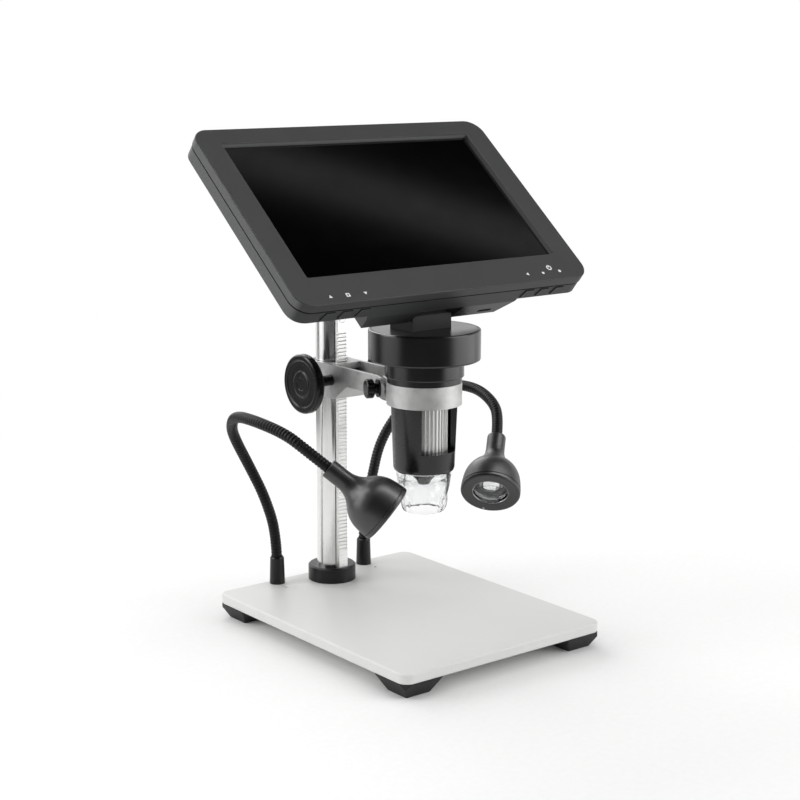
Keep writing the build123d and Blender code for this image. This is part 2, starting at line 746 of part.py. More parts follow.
def carriage_bracket():
    height = BODY_TOP + BODY_DROP
    bottom = FOCUS_Z - BODY_DROP
    ring_z = CARRIAGE_TOP - ring_height()
    bore = TUBE_TOP_R + CLAMP_COLLAR + RUNNING_FIT
    body = from_side(side_profile(), BODY_HALF_W)
    body += COLUMN * rod(SLEEVE_R, height, bottom)
    body -= from_side(pocket_profile(), BODY_HALF_W - CHEEK)
    # The left cheek stops where its ear bends out, clear of the ring.
    body -= Pos(-BODY_HALF_W, SCOPE_Y + EAR_REACH / 2, 0) * block(
        2 * CHEEK + CUT_OVER, EAR_REACH, 2 * CARRIAGE_TOP)
    body += clamp_ear()
    ring = SCOPE * rod(CLAMP_OUTER_R, ring_height(), ring_z) + clamp_lug()
    body += ring
    body -= SCOPE * rod(bore, ring_height(), ring_z)
    body -= SCOPE * Rot(0, 0, RING_SPLIT_ANGLE) * Pos(CLAMP_OUTER_R, 0, 0) * block(
        CLAMP_OUTER_R / 2, SLIT, ring_height(), ring_z)
    body -= clamp_screw_place() * Pos(0, 0, -EAR_T) * rod(CLAMP_SCREW_R + RUNNING_FIT, 2 * EAR_T)
    seat = EAR_T + SLIT + CLAMP_SCREW_SEAT
    body -= clamp_screw_place() * Pos(0, 0, -seat) * rod(CLAMP_SCREW_R + LOOSE_FIT, seat - EAR_T)
    body -= COLUMN * rod(COLUMN_R + RUNNING_FIT + BUSH_WALL, height, bottom)
    body -= rack_clearance(RACK_WAY_GAP, height, bottom)
    body -= PINION * along_x(Cylinder(PINION_R + PINION_CAVITY, 2 * (BODY_HALF_W - CHEEK)))
    body -= PINION * along_x(Cylinder(AXLE_BUSH_R, 2 * BODY_HALF_W))
    return body


def ring_height():
    return BODY_TOP + CLAMP_DROP


def guide_bush():
    """Split liner between the cast body and the column."""
    inner = COLUMN_R + RUNNING_FIT
    height = BODY_TOP + BODY_DROP
    bottom = FOCUS_Z - BODY_DROP
    bush = COLUMN * pipe(inner + BUSH_WALL, inner, height, bottom)
    return bush - rack_clearance(RACK_WAY_GAP, height, bottom)


def pinion_bush(side):
    wall = pipe(AXLE_BUSH_R, SHAFT_R + RUNNING_FIT, CHEEK)
    start = BODY_HALF_W - CHEEK if side > 0 else -BODY_HALF_W
    return PINION * Pos(start, 0, 0) * along_x(wall)


def involute_flank(turn_at_pitch):
    """Points of one tooth flank, root to tip, mirrored by the caller."""
    base_r = PINION_R * cos(radians(PRESSURE_ANGLE))
    tip_r = PINION_R + PINION_ADDENDUM
    root_r = PINION_R - RACK_ADDENDUM - 0.25 * MODULE

    def spread(radius):
        slope = acos(base_r / radius)
        return tan(slope) - slope

    pitch_spread = spread(PINION_R)
    points = [(root_r, turn_at_pitch + pitch_spread)]
    for step in range(5):
        radius = base_r + (tip_r - base_r) * step / 4
        points.append((radius, turn_at_pitch + pitch_spread - spread(radius)))
    return points


def pinion_outline():
    half = PITCH / 4 - MESH_BACKLASH / 2
    flank = involute_flank(half / PINION_R)
    outline = []
    for tooth in range(PINION_TEETH):
        middle = 2 * pi * tooth / PINION_TEETH
        rising = [(r, middle - a) for r, a in flank]
        falling = [(r, middle + a) for r, a in reversed(flank)]
        outline += [(r * cos(a), r * sin(a)) for r, a in rising + falling]
    return outline


def pinion_gear():
    """Twelve-tooth pinion cut on its shaft; one tooth points at the rack."""
    face = Plane.YZ * make_face(Polyline(*pinion_outline(), close=True))
    gear = Pos(-PINION_FACE / 2, 0, 0) * extrude(face, PINION_FACE)
    shaft = along_x(Cylinder(SHAFT_R, 2 * (KNOB_FACE - KNOB_T / 2)))
    return PINION * (gear + shaft)


def focus_knob(side):
    """Dished hand wheel with a hub that reaches the cast body."""
    back = KNOB_FACE - KNOB_T
    hub = BODY_HALF_W + KNOB_HUB_GAP
    edge = KNOB_EDGE
    slope = KNOB_DISH_EDGE
    boss = KNOB_FACE - CLOSE_FIT
    wheel = turned([(0, hub), (KNOB_HUB_R, hub), (KNOB_HUB_R, back), (KNOB_R - edge, back),
                    (KNOB_R, back + edge), (KNOB_R, KNOB_FACE - edge), (KNOB_R - edge, KNOB_FACE),
                    (KNOB_DISH_R, KNOB_FACE), (KNOB_DISH_R - slope, KNOB_FACE - KNOB_DISH),
                    (KNOB_BOSS_R + slope, KNOB_FACE - KNOB_DISH), (KNOB_BOSS_R, boss), (0, boss)])
    wheel -= rod(SHAFT_R, KNOB_FACE - KNOB_T / 2)
    return PINION * (Rot(0, 90 * side, 0) * wheel)


def clamp_screw():
    """Threaded shank through the ear that pushes on the ring's free end."""
    tail = EAR_T + SLIT + CLAMP_SCREW_SEAT - LOOSE_FIT
    grip = CLAMP_WASHER_GAP + CLAMP_WASHER_T + CLAMP_NECK + CLAMP_KNOB_T / 2
    return clamp_screw_place() * rod(CLAMP_SCREW_R, tail + grip, -tail)


def clamp_knob():
    neck_z = CLAMP_WASHER_GAP + CLAMP_WASHER_T
    grip_z = neck_z + CLAMP_NECK
    grip = rod(CLAMP_KNOB_R, CLAMP_KNOB_T, grip_z)
    grip = chamfer(grip.edges().filter_by(GeomType.CIRCLE), CLAMP_KNOB_EDGE)
    for k in range(CLAMP_KNOB_FLUTES):
        at = Rot(0, 0, k * 360 / CLAMP_KNOB_FLUTES) * Pos(CLAMP_KNOB_R + CLAMP_FLUTE_R / 2, 0, 0)
        grip -= at * rod(CLAMP_FLUTE_R, CLAMP_KNOB_T, grip_z)
    knob = rod(CLAMP_WASHER_R, CLAMP_WASHER_T, CLAMP_WASHER_GAP) + grip
    knob += rod(CLAMP_SCREW_R + CLAMP_NECK_WALL, CLAMP_NECK, neck_z)
    return clamp_screw_place() * (knob - rod(CLAMP_SCREW_R, grip_z + CLAMP_KNOB_T / 2))


# ---- camera tube ----------------------------------------------------------
def tube_r(z):
    """Outer radius of the tapered tube at a height."""
    ring_bottom = CARRIAGE_TOP - ring_height()
    share = (ring_bottom - z) / (ring_bottom - TUBE_BOTTOM)
    return TUBE_TOP_R - (TUBE_TOP_R - TUBE_LOW_R) * share


def wheel_floor():
    return WINDOW_BOTTOM - WHEEL_SILL


def led_floor():
    return TUBE_BOTTOM + HOOD_SPIGOT_H + LED_H + LED_RING_T


def board_ledge():
    return CARRIAGE_TOP - TUBE_LEDGE_DEEP


def tube_shell():
    ring_bottom = CARRIAGE_TOP - ring_height()
    collar_r = TUBE_TOP_R + CLAMP_COLLAR
    bore = tube_r(TUBE_BOTTOM) - TUBE_WALL
    body = turned([(0, TUBE_BOTTOM), (TUBE_LOW_R - TUBE_ROUND, TUBE_BOTTOM),
                   (TUBE_LOW_R - TUBE_ROUND_LOW, TUBE_BOTTOM + TUBE_ROUND_HIGH),
                   (TUBE_LOW_R, TUBE_BOTTOM + TUBE_ROUND),
                   (TUBE_TOP_R, ring_bottom), (collar_r, ring_bottom), (collar_r, CARRIAGE_TOP),
                   (FLANGE_R, CARRIAGE_TOP), (FLANGE_R, CARRIAGE_TOP + FLANGE_T),
                   (0, CARRIAGE_TOP + FLANGE_T)])
    body -= rod(bore, board_ledge() - wheel_floor(), wheel_floor())
    body -= rod(bore + TUBE_LEDGE, CARRIAGE_TOP + FLANGE_T - board_ledge(), board_ledge())
    body -= rod(BARREL_R + RUNNING_FIT, CARRIAGE_TOP - TUBE_BOTTOM, TUBE_BOTTOM)
    body -= rod(HOOD_TOP_R - HOOD_STEP, led_floor() - TUBE_BOTTOM, TUBE_BOTTOM)
    window_h = ring_bottom - WINDOW_BOTTOM
    spread = tan(radians(WINDOW_HALF_ANGLE)) * TUBE_TOP_R * 1.6
    wedge = make_face(Polyline((0, 0), (-spread, -TUBE_TOP_R * 1.6), (spread, -TUBE_TOP_R * 1.6),
                               close=True))
    cut = Pos(0, 0, WINDOW_BOTTOM) * extrude(wedge, window_h)
    cut -= rod(bore - WINDOW_LAP, window_h, WINDOW_BOTTOM)
    return SCOPE * (body - cut)


def barrel_top():
    return BARREL_BOTTOM + BARREL_H


def focus_wheel():
    """Ribbed ring whose thread moves the lens barrel."""
    low = wheel_floor() + CLOSE_FIT
    high = board_ledge() - WHEEL_SHORT
    bore = BARREL_R + RUNNING_FIT
    wheel = rod(WHEEL_R, high - low, low)
    groove = 0.5 * 2 * pi * WHEEL_R / RIB_COUNT
    for k in range(RIB_COUNT):
        wheel -= Rot(0, 0, k * 360 / RIB_COUNT) * Pos(WHEEL_R, 0, 0) * block(
            2 * RIB_DEPTH, groove, high - low, low)
    return SCOPE * (wheel - rod(bore, high - low, low))


def lens_barrel():
    """Stepped barrel with a conical tip."""
    tip = BARREL_BOTTOM
    cone_top = tip + BARREL_CONE_H
    inner = BARREL_R - BARREL_WALL
    barrel = turned([(FRONT_LENS_R, tip), (BARREL_TIP_R, tip), (BARREL_R, cone_top),
                     (BARREL_R, barrel_top()), (inner, barrel_top()), (inner, cone_top + BARREL_SHOULDER),
                     (FRONT_LENS_R, tip + LENS_T + BARREL_LIP)])
    return SCOPE * barrel


def lens_elements():
    inner = BARREL_R - BARREL_WALL
    front = rod(FRONT_LENS_R, LENS_T, BARREL_BOTTOM + FRONT_LENS_BACK)
    rear = rod(inner, LENS_T, BARREL_BOTTOM + BARREL_CONE_H + REAR_LENS_UP)
    return SCOPE * joined([front, rear])


def led_ring():
    top = led_floor()
    return SCOPE * pipe(HOOD_TOP_R - HOOD_STEP - 2 * CLOSE_FIT, LED_RING_INNER_R, LED_RING_T, top - LED_RING_T)


def ring_leds():
    z = led_floor() - LED_RING_T
    led = rod(LED_R, LED_H, z - LED_H)
    spots = [Rot(0, 0, (k + 0.5) * 360 / LED_COUNT) * Pos(LED_CIRCLE_R, 0, 0) * led
             for k in range(LED_COUNT)]
    return SCOPE * joined(spots)


def hood_r(z):
    share = (z - HOOD_BOTTOM) / (TUBE_BOTTOM - HOOD_BOTTOM)
    return HOOD_LOW_R + (HOOD_TOP_R - HOOD_LOW_R) * share


def clear_hood():
    """Open clear snout with a bumped skirt, plugged into the tube."""
    mid = HOOD_BOTTOM + HOOD_WAIST_H
    spigot_r = HOOD_TOP_R - HOOD_STEP
    spigot_top = TUBE_BOTTOM + HOOD_SPIGOT_H
    collar = TUBE_BOTTOM - HOOD_COLLAR_H
    bumps = HOOD_BOTTOM + HOOD_BUMP_H
    outer = turned([(0, HOOD_BOTTOM), (HOOD_LOW_R - HOOD_LIP, HOOD_BOTTOM),
                    (HOOD_LOW_R, HOOD_BOTTOM + HOOD_LIP_H), (hood_r(mid), mid), (HOOD_TOP_R, collar),
                    (HOOD_TOP_R, TUBE_BOTTOM), (spigot_r, TUBE_BOTTOM), (spigot_r, spigot_top),
                    (0, spigot_top)])
    for k in range(HOOD_BUMPS):
        bump = Pos(hood_r(bumps) - HOOD_BUMP_SUNK, 0, bumps) * Sphere(HOOD_BUMP_R)
        outer += Rot(0, 0, (k + 0.5) * 360 / HOOD_BUMPS) * bump
    inner = turned([(0, HOOD_BOTTOM), (HOOD_LOW_R - HOOD_LIP - HOOD_WALL, HOOD_BOTTOM),
                    (hood_r(mid) - HOOD_WALL, mid), (spigot_r - HOOD_WALL, collar),
                    (spigot_r - HOOD_WALL, spigot_top), (0, spigot_top)])
    return SCOPE * (outer - inner)


def sensor_board():
    radius = tube_r(TUBE_BOTTOM) - TUBE_WALL + TUBE_LEDGE
    board = rod(radius, SENSOR_BOARD_T, board_ledge())
    return SCOPE * (board + block(CHIP, CHIP, CHIP_T, board_ledge() - CHIP_T))


# ---- head disc and hinge post --------------------------------------------
def disc_housing():
    """Cup that joins the camera tube to the screen's hinge."""
    low = CARRIAGE_TOP + FLANGE_T
    shoulder = low + NECK_H
    fine = DISC_TOP_EDGE
    cup = turned([(0, low), (NECK_R - fine, low), (NECK_R, low + fine), (NECK_R, shoulder),
                  (DISC_R - DISC_EDGE, shoulder), (DISC_R, shoulder + DISC_EDGE),
                  (DISC_R, DISC_TOP - fine), (DISC_R - fine, DISC_TOP), (0, DISC_TOP)])
    inner = turned([(0, low + DISC_WALL), (NECK_R - DISC_WALL, low + DISC_WALL),
                    (NECK_R - DISC_WALL, shoulder + DISC_WALL), (DISC_R - LID_SEAT, shoulder + DISC_WALL),
                    (DISC_R - LID_SEAT, DISC_TOP - LID_T), (DISC_R - LID_EDGE, DISC_TOP - LID_T),
                    (DISC_R - LID_EDGE, DISC_TOP), (0, DISC_TOP)])
    cable_way = rod(BARREL_R, DISC_WALL, low)
    return SCOPE * (cup - inner - cable_way)


def disc_lid():
    lid = SCOPE * rod(DISC_R - LID_EDGE - CLOSE_FIT, LID_T, DISC_TOP - LID_T)
    return lid - Pos(0, HINGE_Y + (POST_BACK - POST_FRONT) / 2, 0) * rod(CABLE_R, LID_T, DISC_TOP - LID_T)


def hinge_post():
    """Shouldered post whose tongue carries the tilt hinge."""
    z0 = -HINGE_RISE
    z1 = z0 + POST_SHOULDER
    z2 = z1 + POST_CHAMFER
    front = [(-POST_HALF_W, z0), (POST_HALF_W, z0), (POST_HALF_W, z1), (TONGUE_HALF_W, z2),
             (TONGUE_HALF_W, HINGE_BARREL_R), (-TONGUE_HALF_W, HINGE_BARREL_R),
             (-TONGUE_HALF_W, z2), (-POST_HALF_W, z1)]
    face = Plane.XZ * make_face(Polyline(*front, close=True))
    slab_post = Pos(0, POST_BACK, 0) * extrude(face, POST_FRONT + POST_BACK)
    # Seen from the side the post leans in to the round hinge barrel.
    edge = HINGE_BARREL_R
    flank = [(-POST_FRONT, z0), (POST_BACK, z0), (POST_BACK, z1), (edge, 0), (-edge, 0),
             (POST_LEAN - POST_FRONT, z1 + POST_LEAN_H), (-POST_FRONT, z1)]
    side_face = Plane.YZ * make_face(Polyline(*flank, close=True))
    side = Pos(-POST_HALF_W, 0, 0) * extrude(side_face, 2 * POST_HALF_W)
    side += along_x(Cylinder(HINGE_BARREL_R, 2 * TONGUE_HALF_W))
    post = slab_post & side
    post -= along_x(Cylinder(HINGE_PIN_R + RUNNING_FIT, 4 * POST_HALF_W))
    post -= Pos(0, (POST_BACK - POST_FRONT) / 2, z0) * rod(CABLE_R, POST_SHOULDER - POST_ROOF)
    return HINGE * post


def hinge_pin():
    """Pin through both ears, headed inside the case."""
    reach = CHANNEL_HALF_W + CASE_WALL
    pin = along_x(Cylinder(HINGE_PIN_R, 2 * reach))
    for side in (-1, 1):
        pin += Pos(side * (reach + HINGE_PIN_HEAD_T / 2), 0, 0) * along_x(
            Cylinder(HINGE_PIN_HEAD_R, HINGE_PIN_HEAD_T))
    return HINGE * pin


def friction_washers():
    rings = []
    thick = EAR_INNER - TONGUE_HALF_W - CLOSE_FIT
    for side in (-1, 1):
        start = TONGUE_HALF_W + CLOSE_FIT if side > 0 else -EAR_INNER
        rings.append(Pos(start, 0, 0) * along_x(pipe(WASHER_R, HINGE_PIN_R, thick)))
    return HINGE * joined(rings)


# ---- screen ---------------------------------------------------------------
def screen_slab(width, height, corner, front, back, up=0.0):
    """Rounded slab between two depths behind the screen's face."""
    plate = extrude(RectangleRounded(width, height, corner), back - front)
    return Pos(0, up, -back) * plate


def front_bezel():
    inner_w = SCREEN_W - 2 * CASE_WALL
    inner_h = SCREEN_H - 2 * CASE_WALL
    body = screen_slab(SCREEN_W, SCREEN_H, SCREEN_CORNER, 0, BEZEL_D)
    body = chamfer(body.faces().sort_by(Axis.Z)[-1].edges(), FACE_EDGE)
    body -= screen_slab(inner_w, inner_h, SCREEN_CORNER - CASE_WALL, BEZEL_FACE_T, BEZEL_D)
    opening = loft([Pos(0, VIEW_UP, -BEVEL_D) * Rectangle(VIEW_W, VIEW_H),
                    Pos(0, VIEW_UP, 0) * Rectangle(VIEW_W + 2 * VIEW_BEVEL, VIEW_H + 2 * VIEW_BEVEL)])
    body -= opening
    body -= screen_slab(VIEW_W, VIEW_H, VIEW_CORNER, BEVEL_D, BEZEL_FACE_T, VIEW_UP)
    for x, y in screw_posts():
        body += Pos(x, y, -BEZEL_D) * rod(SCREW_POST_R, BEZEL_D - BEZEL_FACE_T)
        body -= Pos(x, y, -BEZEL_D) * rod(CASE_SCREW_R, BEZEL_D - BEZEL_FACE_T)
    return SCREEN * body


def screw_posts():
    return [(sx * SCREW_POST_X, sy * SCREW_POST_Y) for sx in (-1, 1) for sy in (-1, 1)]


def bulge(wall, low_edge):
    """Deep part of the back, with sloped ends and a chamfered lower edge."""
    half = BULGE_HALF_W - wall
    back = BULGE_D - wall
    inset = BULGE_SLOPE
    low = low_edge
    top = BULGE_TOP - wall
    base = Pos(0, (low + top) / 2, -SHELL_D + CASE_WALL) * Rectangle(2 * half, top - low)
    rear = Pos(0, (low + top - inset) / 2, -back) * Rectangle(2 * (half - inset), top - inset - low)
    body = loft([rear, base])
    toe = BULGE_TOE
    slope = [(-SHELL_D, low), (-BULGE_D - toe, low), (-BULGE_D - toe, low + BULGE_CHAMFER + toe),
             (-BULGE_D, low + BULGE_CHAMFER)]
    face = Plane.YZ * make_face(Polyline(*[(y, z) for z, y in slope], close=True))
    return body - Pos(-half, 0, 0) * extrude(face, 2 * half)


def key_places():
    """Middle of each key along X, left bank then right bank."""
    bank = [KEY_FIRST + k * KEY_PITCH for k in range(3)]
    return [-x for x in reversed(bank)] + bank


def key_outline(x, grow):
    """Slant-ended key seen from below, as (X, depth behind the face)."""
    half = KEY_W / 2 + grow
    front = KEY_FRONT - grow
    back = KEY_FRONT + KEY_D + grow
    return [(x - half + KEY_SLANT, -front), (x + half, -front), (x + half - KEY_SLANT, -back),
            (x - half, -back)]


def key_prism(x, grow, low, high):
    face = Plane.XZ * make_face(Polyline(*key_outline(x, grow), close=True))
    return Pos(0, high, 0) * extrude(face, high - low)


def rear_shell():
    outer_w = SCREEN_W - 2 * SHELL_INSET
    outer_h = SCREEN_H - 2 * SHELL_INSET
    corner = SCREEN_CORNER - SHELL_INSET
    low = -outer_h / 2
    wall = CASE_WALL
    body = screen_slab(outer_w, outer_h, corner, BEZEL_D, SHELL_D)
    body = chamfer(body.faces().sort_by(Axis.Z)[0].edges(), SHELL_CHAMFER)
    body += bulge(0.0, low)
    hollow = screen_slab(outer_w - 2 * wall, outer_h - 2 * wall, corner - wall, BEZEL_D, SHELL_D - wall)
    hollow += bulge(wall, low + wall)
    body -= hollow
    # Channel for the hinge post, walled on both sides and above.
    lined = Pos(0, (low + CHANNEL_TOP) / 2, -BULGE_D) * block(
        2 * (CHANNEL_HALF_W + wall), CHANNEL_TOP + wall * 2 - low, BULGE_D - SHELL_D + wall)
    body += lined & bulge(0.0, low)
    over = CUT_OVER
    body -= Pos(0, (low + CHANNEL_TOP) / 2 - over, -BULGE_D - over) * block(
        2 * CHANNEL_HALF_W, CHANNEL_TOP - low + 2 * over, BULGE_D - SHELL_D + over)
    hinge = Pos(0, -HINGE_BELOW, -HINGE_DEEP)
    for side in (-1, 1):
        mid = side * (EAR_INNER + CHANNEL_HALF_W) / 2
        body += hinge * Pos(mid, 0, 0) * along_x(Cylinder(EAR_R, CHANNEL_HALF_W - EAR_INNER))
    body -= hinge * along_x(Cylinder(HINGE_PIN_R, 4 * CHANNEL_HALF_W))
    for x in key_places():
        body -= key_prism(x, LOOSE_FIT, low, low + wall)
    for pillar in board_pillars():
        body += pillar
    slot_y = low + BULGE_CHAMFER * 0.6
    body -= Pos(SLOT_X, slot_y, -SLOT_DEEP) * Box(SLOT_W, 2 * (wall + BULGE_CHAMFER / 2), SLOT_H)
    for x, y in screw_posts():
        body += Pos(x, y, -SHELL_D + wall) * rod(SCREW_POST_R, SHELL_D - wall - BEZEL_D)
        body -= Pos(x, y, -SHELL_D) * rod(CASE_SCREW_R, SHELL_D)
        body -= Pos(x, y, -SHELL_D) * rod(
            CASE_SCREW_HEAD_R + LOOSE_FIT, CASE_SCREW_HEAD_T + CASE_SCREW_SUNK)
    return SCREEN * body


def case_screws():
    screws = []
    for x, y in screw_posts():
        seat = CASE_SCREW_SUNK - SHELL_D
        screw = rod(CASE_SCREW_HEAD_R, CASE_SCREW_HEAD_T)
        screw += rod(CASE_SCREW_R, SHELL_D - CASE_SCREW_SUNK - BEZEL_FACE_T - CASE_SCREW_SHORT)
        screws.append(Pos(x, y, seat) * screw)
    return SCREEN * joined(screws)


def glass_front():
    return BEZEL_FACE_T


def screen_glass():
    width = VIEW_W + 2 * GLASS_LAP
    height = VIEW_H + 2 * GLASS_LAP
    return SCREEN * screen_slab(width, height, PANEL_CORNER, glass_front(), glass_front() + GLASS_T, VIEW_UP)


def lcd_panel():
    front = glass_front() + GLASS_T
    return SCREEN * screen_slab(PANEL_W, PANEL_H, PANEL_CORNER, front, front + PANEL_T, VIEW_UP)


def board_front():
    return glass_front() + GLASS_T + PANEL_T + BOARD_GAP


def main_board():
    """Board on the shell's pillars, with its processor."""
    z = -board_front() - BOARD_T
    mid = board_middle()
    board = Pos(0, mid, z) * block(BOARD_W, BOARD_H, BOARD_T)
    chip = Pos(PROCESSOR_X, mid + PROCESSOR_UP, z - PROCESSOR_T) * block(
        PROCESSOR, PROCESSOR, PROCESSOR_T)
    return SCREEN * (board + chip)


def board_middle():
    return BULGE_TOP - BOARD_H / 2 + BOARD_UP


def board_pillars():
    """Bosses of the rear shell that the board stands on."""
    z = -SHELL_D + CASE_WALL
    height = SHELL_D - CASE_WALL - board_front() - BOARD_T
    edge = PILLAR_R + PILLAR_EDGE
    spots = [(sx * (BOARD_W / 2 - edge), board_middle() + sy * (BOARD_H / 2 - edge))
             for sx in (-1, 1) for sy in (-1, 1)]
    return [Pos(x, y, z) * rod(PILLAR_R, height) for x, y in spots]


def battery():
    low = -SCREEN_H / 2 + SHELL_INSET
    x = -(CHANNEL_HALF_W + CASE_WALL + HINGE_PIN_HEAD_T + BATTERY_GAP + BATTERY_W / 2)
    y = low + CASE_WALL + BULGE_CHAMFER + BATTERY_UP + BATTERY_H / 2
    z = -BULGE_D + CASE_WALL
    return SCREEN * Pos(x, y, z) * slab(BATTERY_W, BATTERY_H, BATTERY_T, BATTERY_CORNER)


def card_reader():
    """Metal card socket on the lower wall, behind its slot."""
    low = -SCREEN_H / 2 + SHELL_INSET
    y = low + CASE_WALL + BULGE_CHAMFER + READER_L / 2
    return SCREEN * Pos(SLOT_X, y, -BULGE_D + CASE_WALL) * block(READER_W, READER_L, READER_T)


def key_cap(x):
    low = -SCREEN_H / 2 + SHELL_INSET
    seat = low + CASE_WALL + KEY_SEAT
    cap = key_prism(x, 0.0, low - KEY_PROUD, seat)
    flange = key_prism(x, KEY_FLANGE, seat, seat + KEY_FLANGE_T)
    return SCREEN * (cap + flange)


def switch_boards():
    """One switch strip behind each bank of keys."""
    low = -SCREEN_H / 2 + SHELL_INSET
    z = low + CASE_WALL + KEY_SEAT + KEY_FLANGE_T + KEY_TRAVEL + KEY_SEAT
    strips = []
    for side in (-1, 1):
        mid = side * (KEY_FIRST + KEY_PITCH)
        strip = Pos(mid, z + SWITCH_T / 2, -SHELL_D + CASE_WALL) * block(
            3 * KEY_PITCH, SWITCH_T, SHELL_D - CASE_WALL - BEZEL_D - LOOSE_FIT)
        strips.append(strip)
    return SCREEN * joined(strips)


def parts():
    made = {
        "base_plate": base_plate(),
        "corner_feet": joined([foot(place) for place in foot_places()]),
        "foot_screws": joined([foot_screw(place) for place in foot_places()]),
        "column_tube": column_tube(),
        "gear_rack": gear_rack(),
        "rack_screws": joined([screw_into_rack(z) for z in rack_screw_heights()]),
        "column_collar": column_collar(),
        "column_cap": column_cap(),
        "column_bolt": column_bolt(),
        "lamp_sockets": joined([lamp_socket(side) for side in (-1, 1)]),
        "socket_nuts": joined([socket_nut(side) for side in (-1, 1)]),
        "carriage_bracket": carriage_bracket(),
        "guide_bush": guide_bush(),
        "pinion_bushes": joined([pinion_bush(side) for side in (-1, 1)]),
        "pinion_gear": pinion_gear(),
        "left_focus_knob": focus_knob(-1),
        "right_focus_knob": focus_knob(1),
        "clamp_screw": clamp_screw(),
        "clamp_knob": clamp_knob(),
        "tube_shell": tube_shell(),
        "disc_housing": disc_housing(),
        "disc_lid": disc_lid(),
        "sensor_board": sensor_board(),
        "led_ring_board": led_ring(),
        "ring_leds": ring_leds(),
        "clear_hood": clear_hood(),
        "focus_wheel": focus_wheel(),
        "lens_barrel": lens_barrel(),
        "lens_elements": lens_elements(),
        "hinge_post": hinge_post(),
        "hinge_pin": hinge_pin(),
        "friction_washers": friction_washers(),
        "front_bezel": front_bezel(),
        "rear_shell": rear_shell(),
        "screen_glass": screen_glass(),
        "lcd_panel": lcd_panel(),
        "main_board": main_board(),
        "battery": battery(),
        "card_reader": card_reader(),
        "switch_boards": switch_boards(),
        "case_screws": case_screws(),
    }
    for side, name in ((-1, "left"), (1, "right")):
        made[f"{name}_lamp_hose"] = hose(side)
        made[f"{name}_lamp_shell"] = lamp_shell(side)
        made[f"{name}_lamp_ring"] = lamp_ring(side)
        made[f"{name}_lamp_lens"] = lamp_lens(side)
        made[f"{name}_lamp_reflector"] = lamp_reflector(side)
        made[f"{name}_lamp_emitter"] = lamp_emitter(side)
    for number, x in enumerate(key_places(), 1):
        made[f"key_{number}"] = key_cap(x)
    return made


os.makedirs("parts", exist_ok=True)
for name, shape in parts().items():
    export_step(shape, f"parts/{name}.step")

arm = hose_points(1)
print("arm radii", [round(r, 1) for r in hose_radii(arm)])
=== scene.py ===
from math import cos, pi, radians, sin, tau

import bmesh
import bpy
from mathutils import Matrix, Vector


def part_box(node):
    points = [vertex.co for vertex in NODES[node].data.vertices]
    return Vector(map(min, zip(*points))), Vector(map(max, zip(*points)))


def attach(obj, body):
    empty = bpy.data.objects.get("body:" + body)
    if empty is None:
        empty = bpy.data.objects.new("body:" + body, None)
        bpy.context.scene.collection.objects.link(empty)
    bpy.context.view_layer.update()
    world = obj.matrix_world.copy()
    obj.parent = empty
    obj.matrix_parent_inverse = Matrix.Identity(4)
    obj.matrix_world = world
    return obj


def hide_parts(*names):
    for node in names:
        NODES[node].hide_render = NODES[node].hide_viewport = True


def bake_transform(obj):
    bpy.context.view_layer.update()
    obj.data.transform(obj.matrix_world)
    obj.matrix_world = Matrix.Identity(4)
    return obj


bl_info = {
    "name": "Bench Microscope Looks",
    "version": (1, 0, 0),
    "blender": (4, 5, 0),
    "location": "View3D > Sidebar > Microscope",
    "description": "Dresses the packed bench microscope: lamps, necks, knobs, screen, hood and finishes",
    "category": "Object",
}

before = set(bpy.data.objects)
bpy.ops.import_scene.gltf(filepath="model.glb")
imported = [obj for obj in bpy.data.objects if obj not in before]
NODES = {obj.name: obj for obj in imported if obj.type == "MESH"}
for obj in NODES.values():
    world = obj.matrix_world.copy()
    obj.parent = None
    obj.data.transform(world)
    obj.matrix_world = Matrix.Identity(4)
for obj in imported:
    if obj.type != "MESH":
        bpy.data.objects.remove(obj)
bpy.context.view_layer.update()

STAGE_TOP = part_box("base_plate")[1].z
SCOPE_Y = (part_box("focus_wheel")[0].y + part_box("focus_wheel")[1].y) / 2
PINION = (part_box("pinion_gear")[0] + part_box("pinion_gear")[1]) / 2
HINGE = (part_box("hinge_pin")[0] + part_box("hinge_pin")[1]) / 2
SOCKET = Vector((0.030, 0.0765, STAGE_TOP))
PLATE_PIN = Vector((0.0312, 0.0670, STAGE_TOP + 0.0002))

# The screen leans back from upright, and the middle of its face stands off the hinge.
SCREEN_LEAN = radians(50.7)
SCREEN_UP, SCREEN_OUT = 0.0456, 0.0196

# Arm of the right lamp from its socket's foot, and the lamp's own axis.
NECK_ROUTE = [
    (0.0, 0.0, 0.0060), (0.0, 0.0, 0.0268), (0.0066, 0.0008, 0.0492), (0.0149, 0.0043, 0.0685),
    (0.0257, 0.0011, 0.0853), (0.0323, -0.0056, 0.0943), (0.0406, -0.0226, 0.1040),
    (0.0436, -0.0452, 0.1056), (0.0388, -0.0661, 0.1016),
]
LAMP_AT = Vector((0.0260, -0.0846, 0.0860))
LAMP_AIM = Vector((-0.577, -0.535, -0.618)).normalized()
NECK_TAIL = 0.014
NECK_ROOT = 0.86  # share of the radius at the bottom of a coil's groove

# Heights from a lamp's front, and the small pin in its front ring.
RING_DEEP = 0.0028
MIRROR_DEEP = 0.0030
CHIP_DEEP = 0.0112
LAMP_PIN = (0.0043, 0.0131)

# Sign, place on the screen's face and size.
KEY_SIGNS = [
    ("up", -0.07366, -0.0566, 0.0012), ("frame", -0.06342, -0.0565, 0.0016),
    ("down", -0.05288, -0.0563, 0.0012), ("right", 0.05255, -0.0555, 0.0012),
    ("dot", 0.06308, -0.0558, 0.0008), ("power", 0.06932, -0.0527, 0.0017),
    ("dot", 0.07481, -0.0557, 0.0009),
]


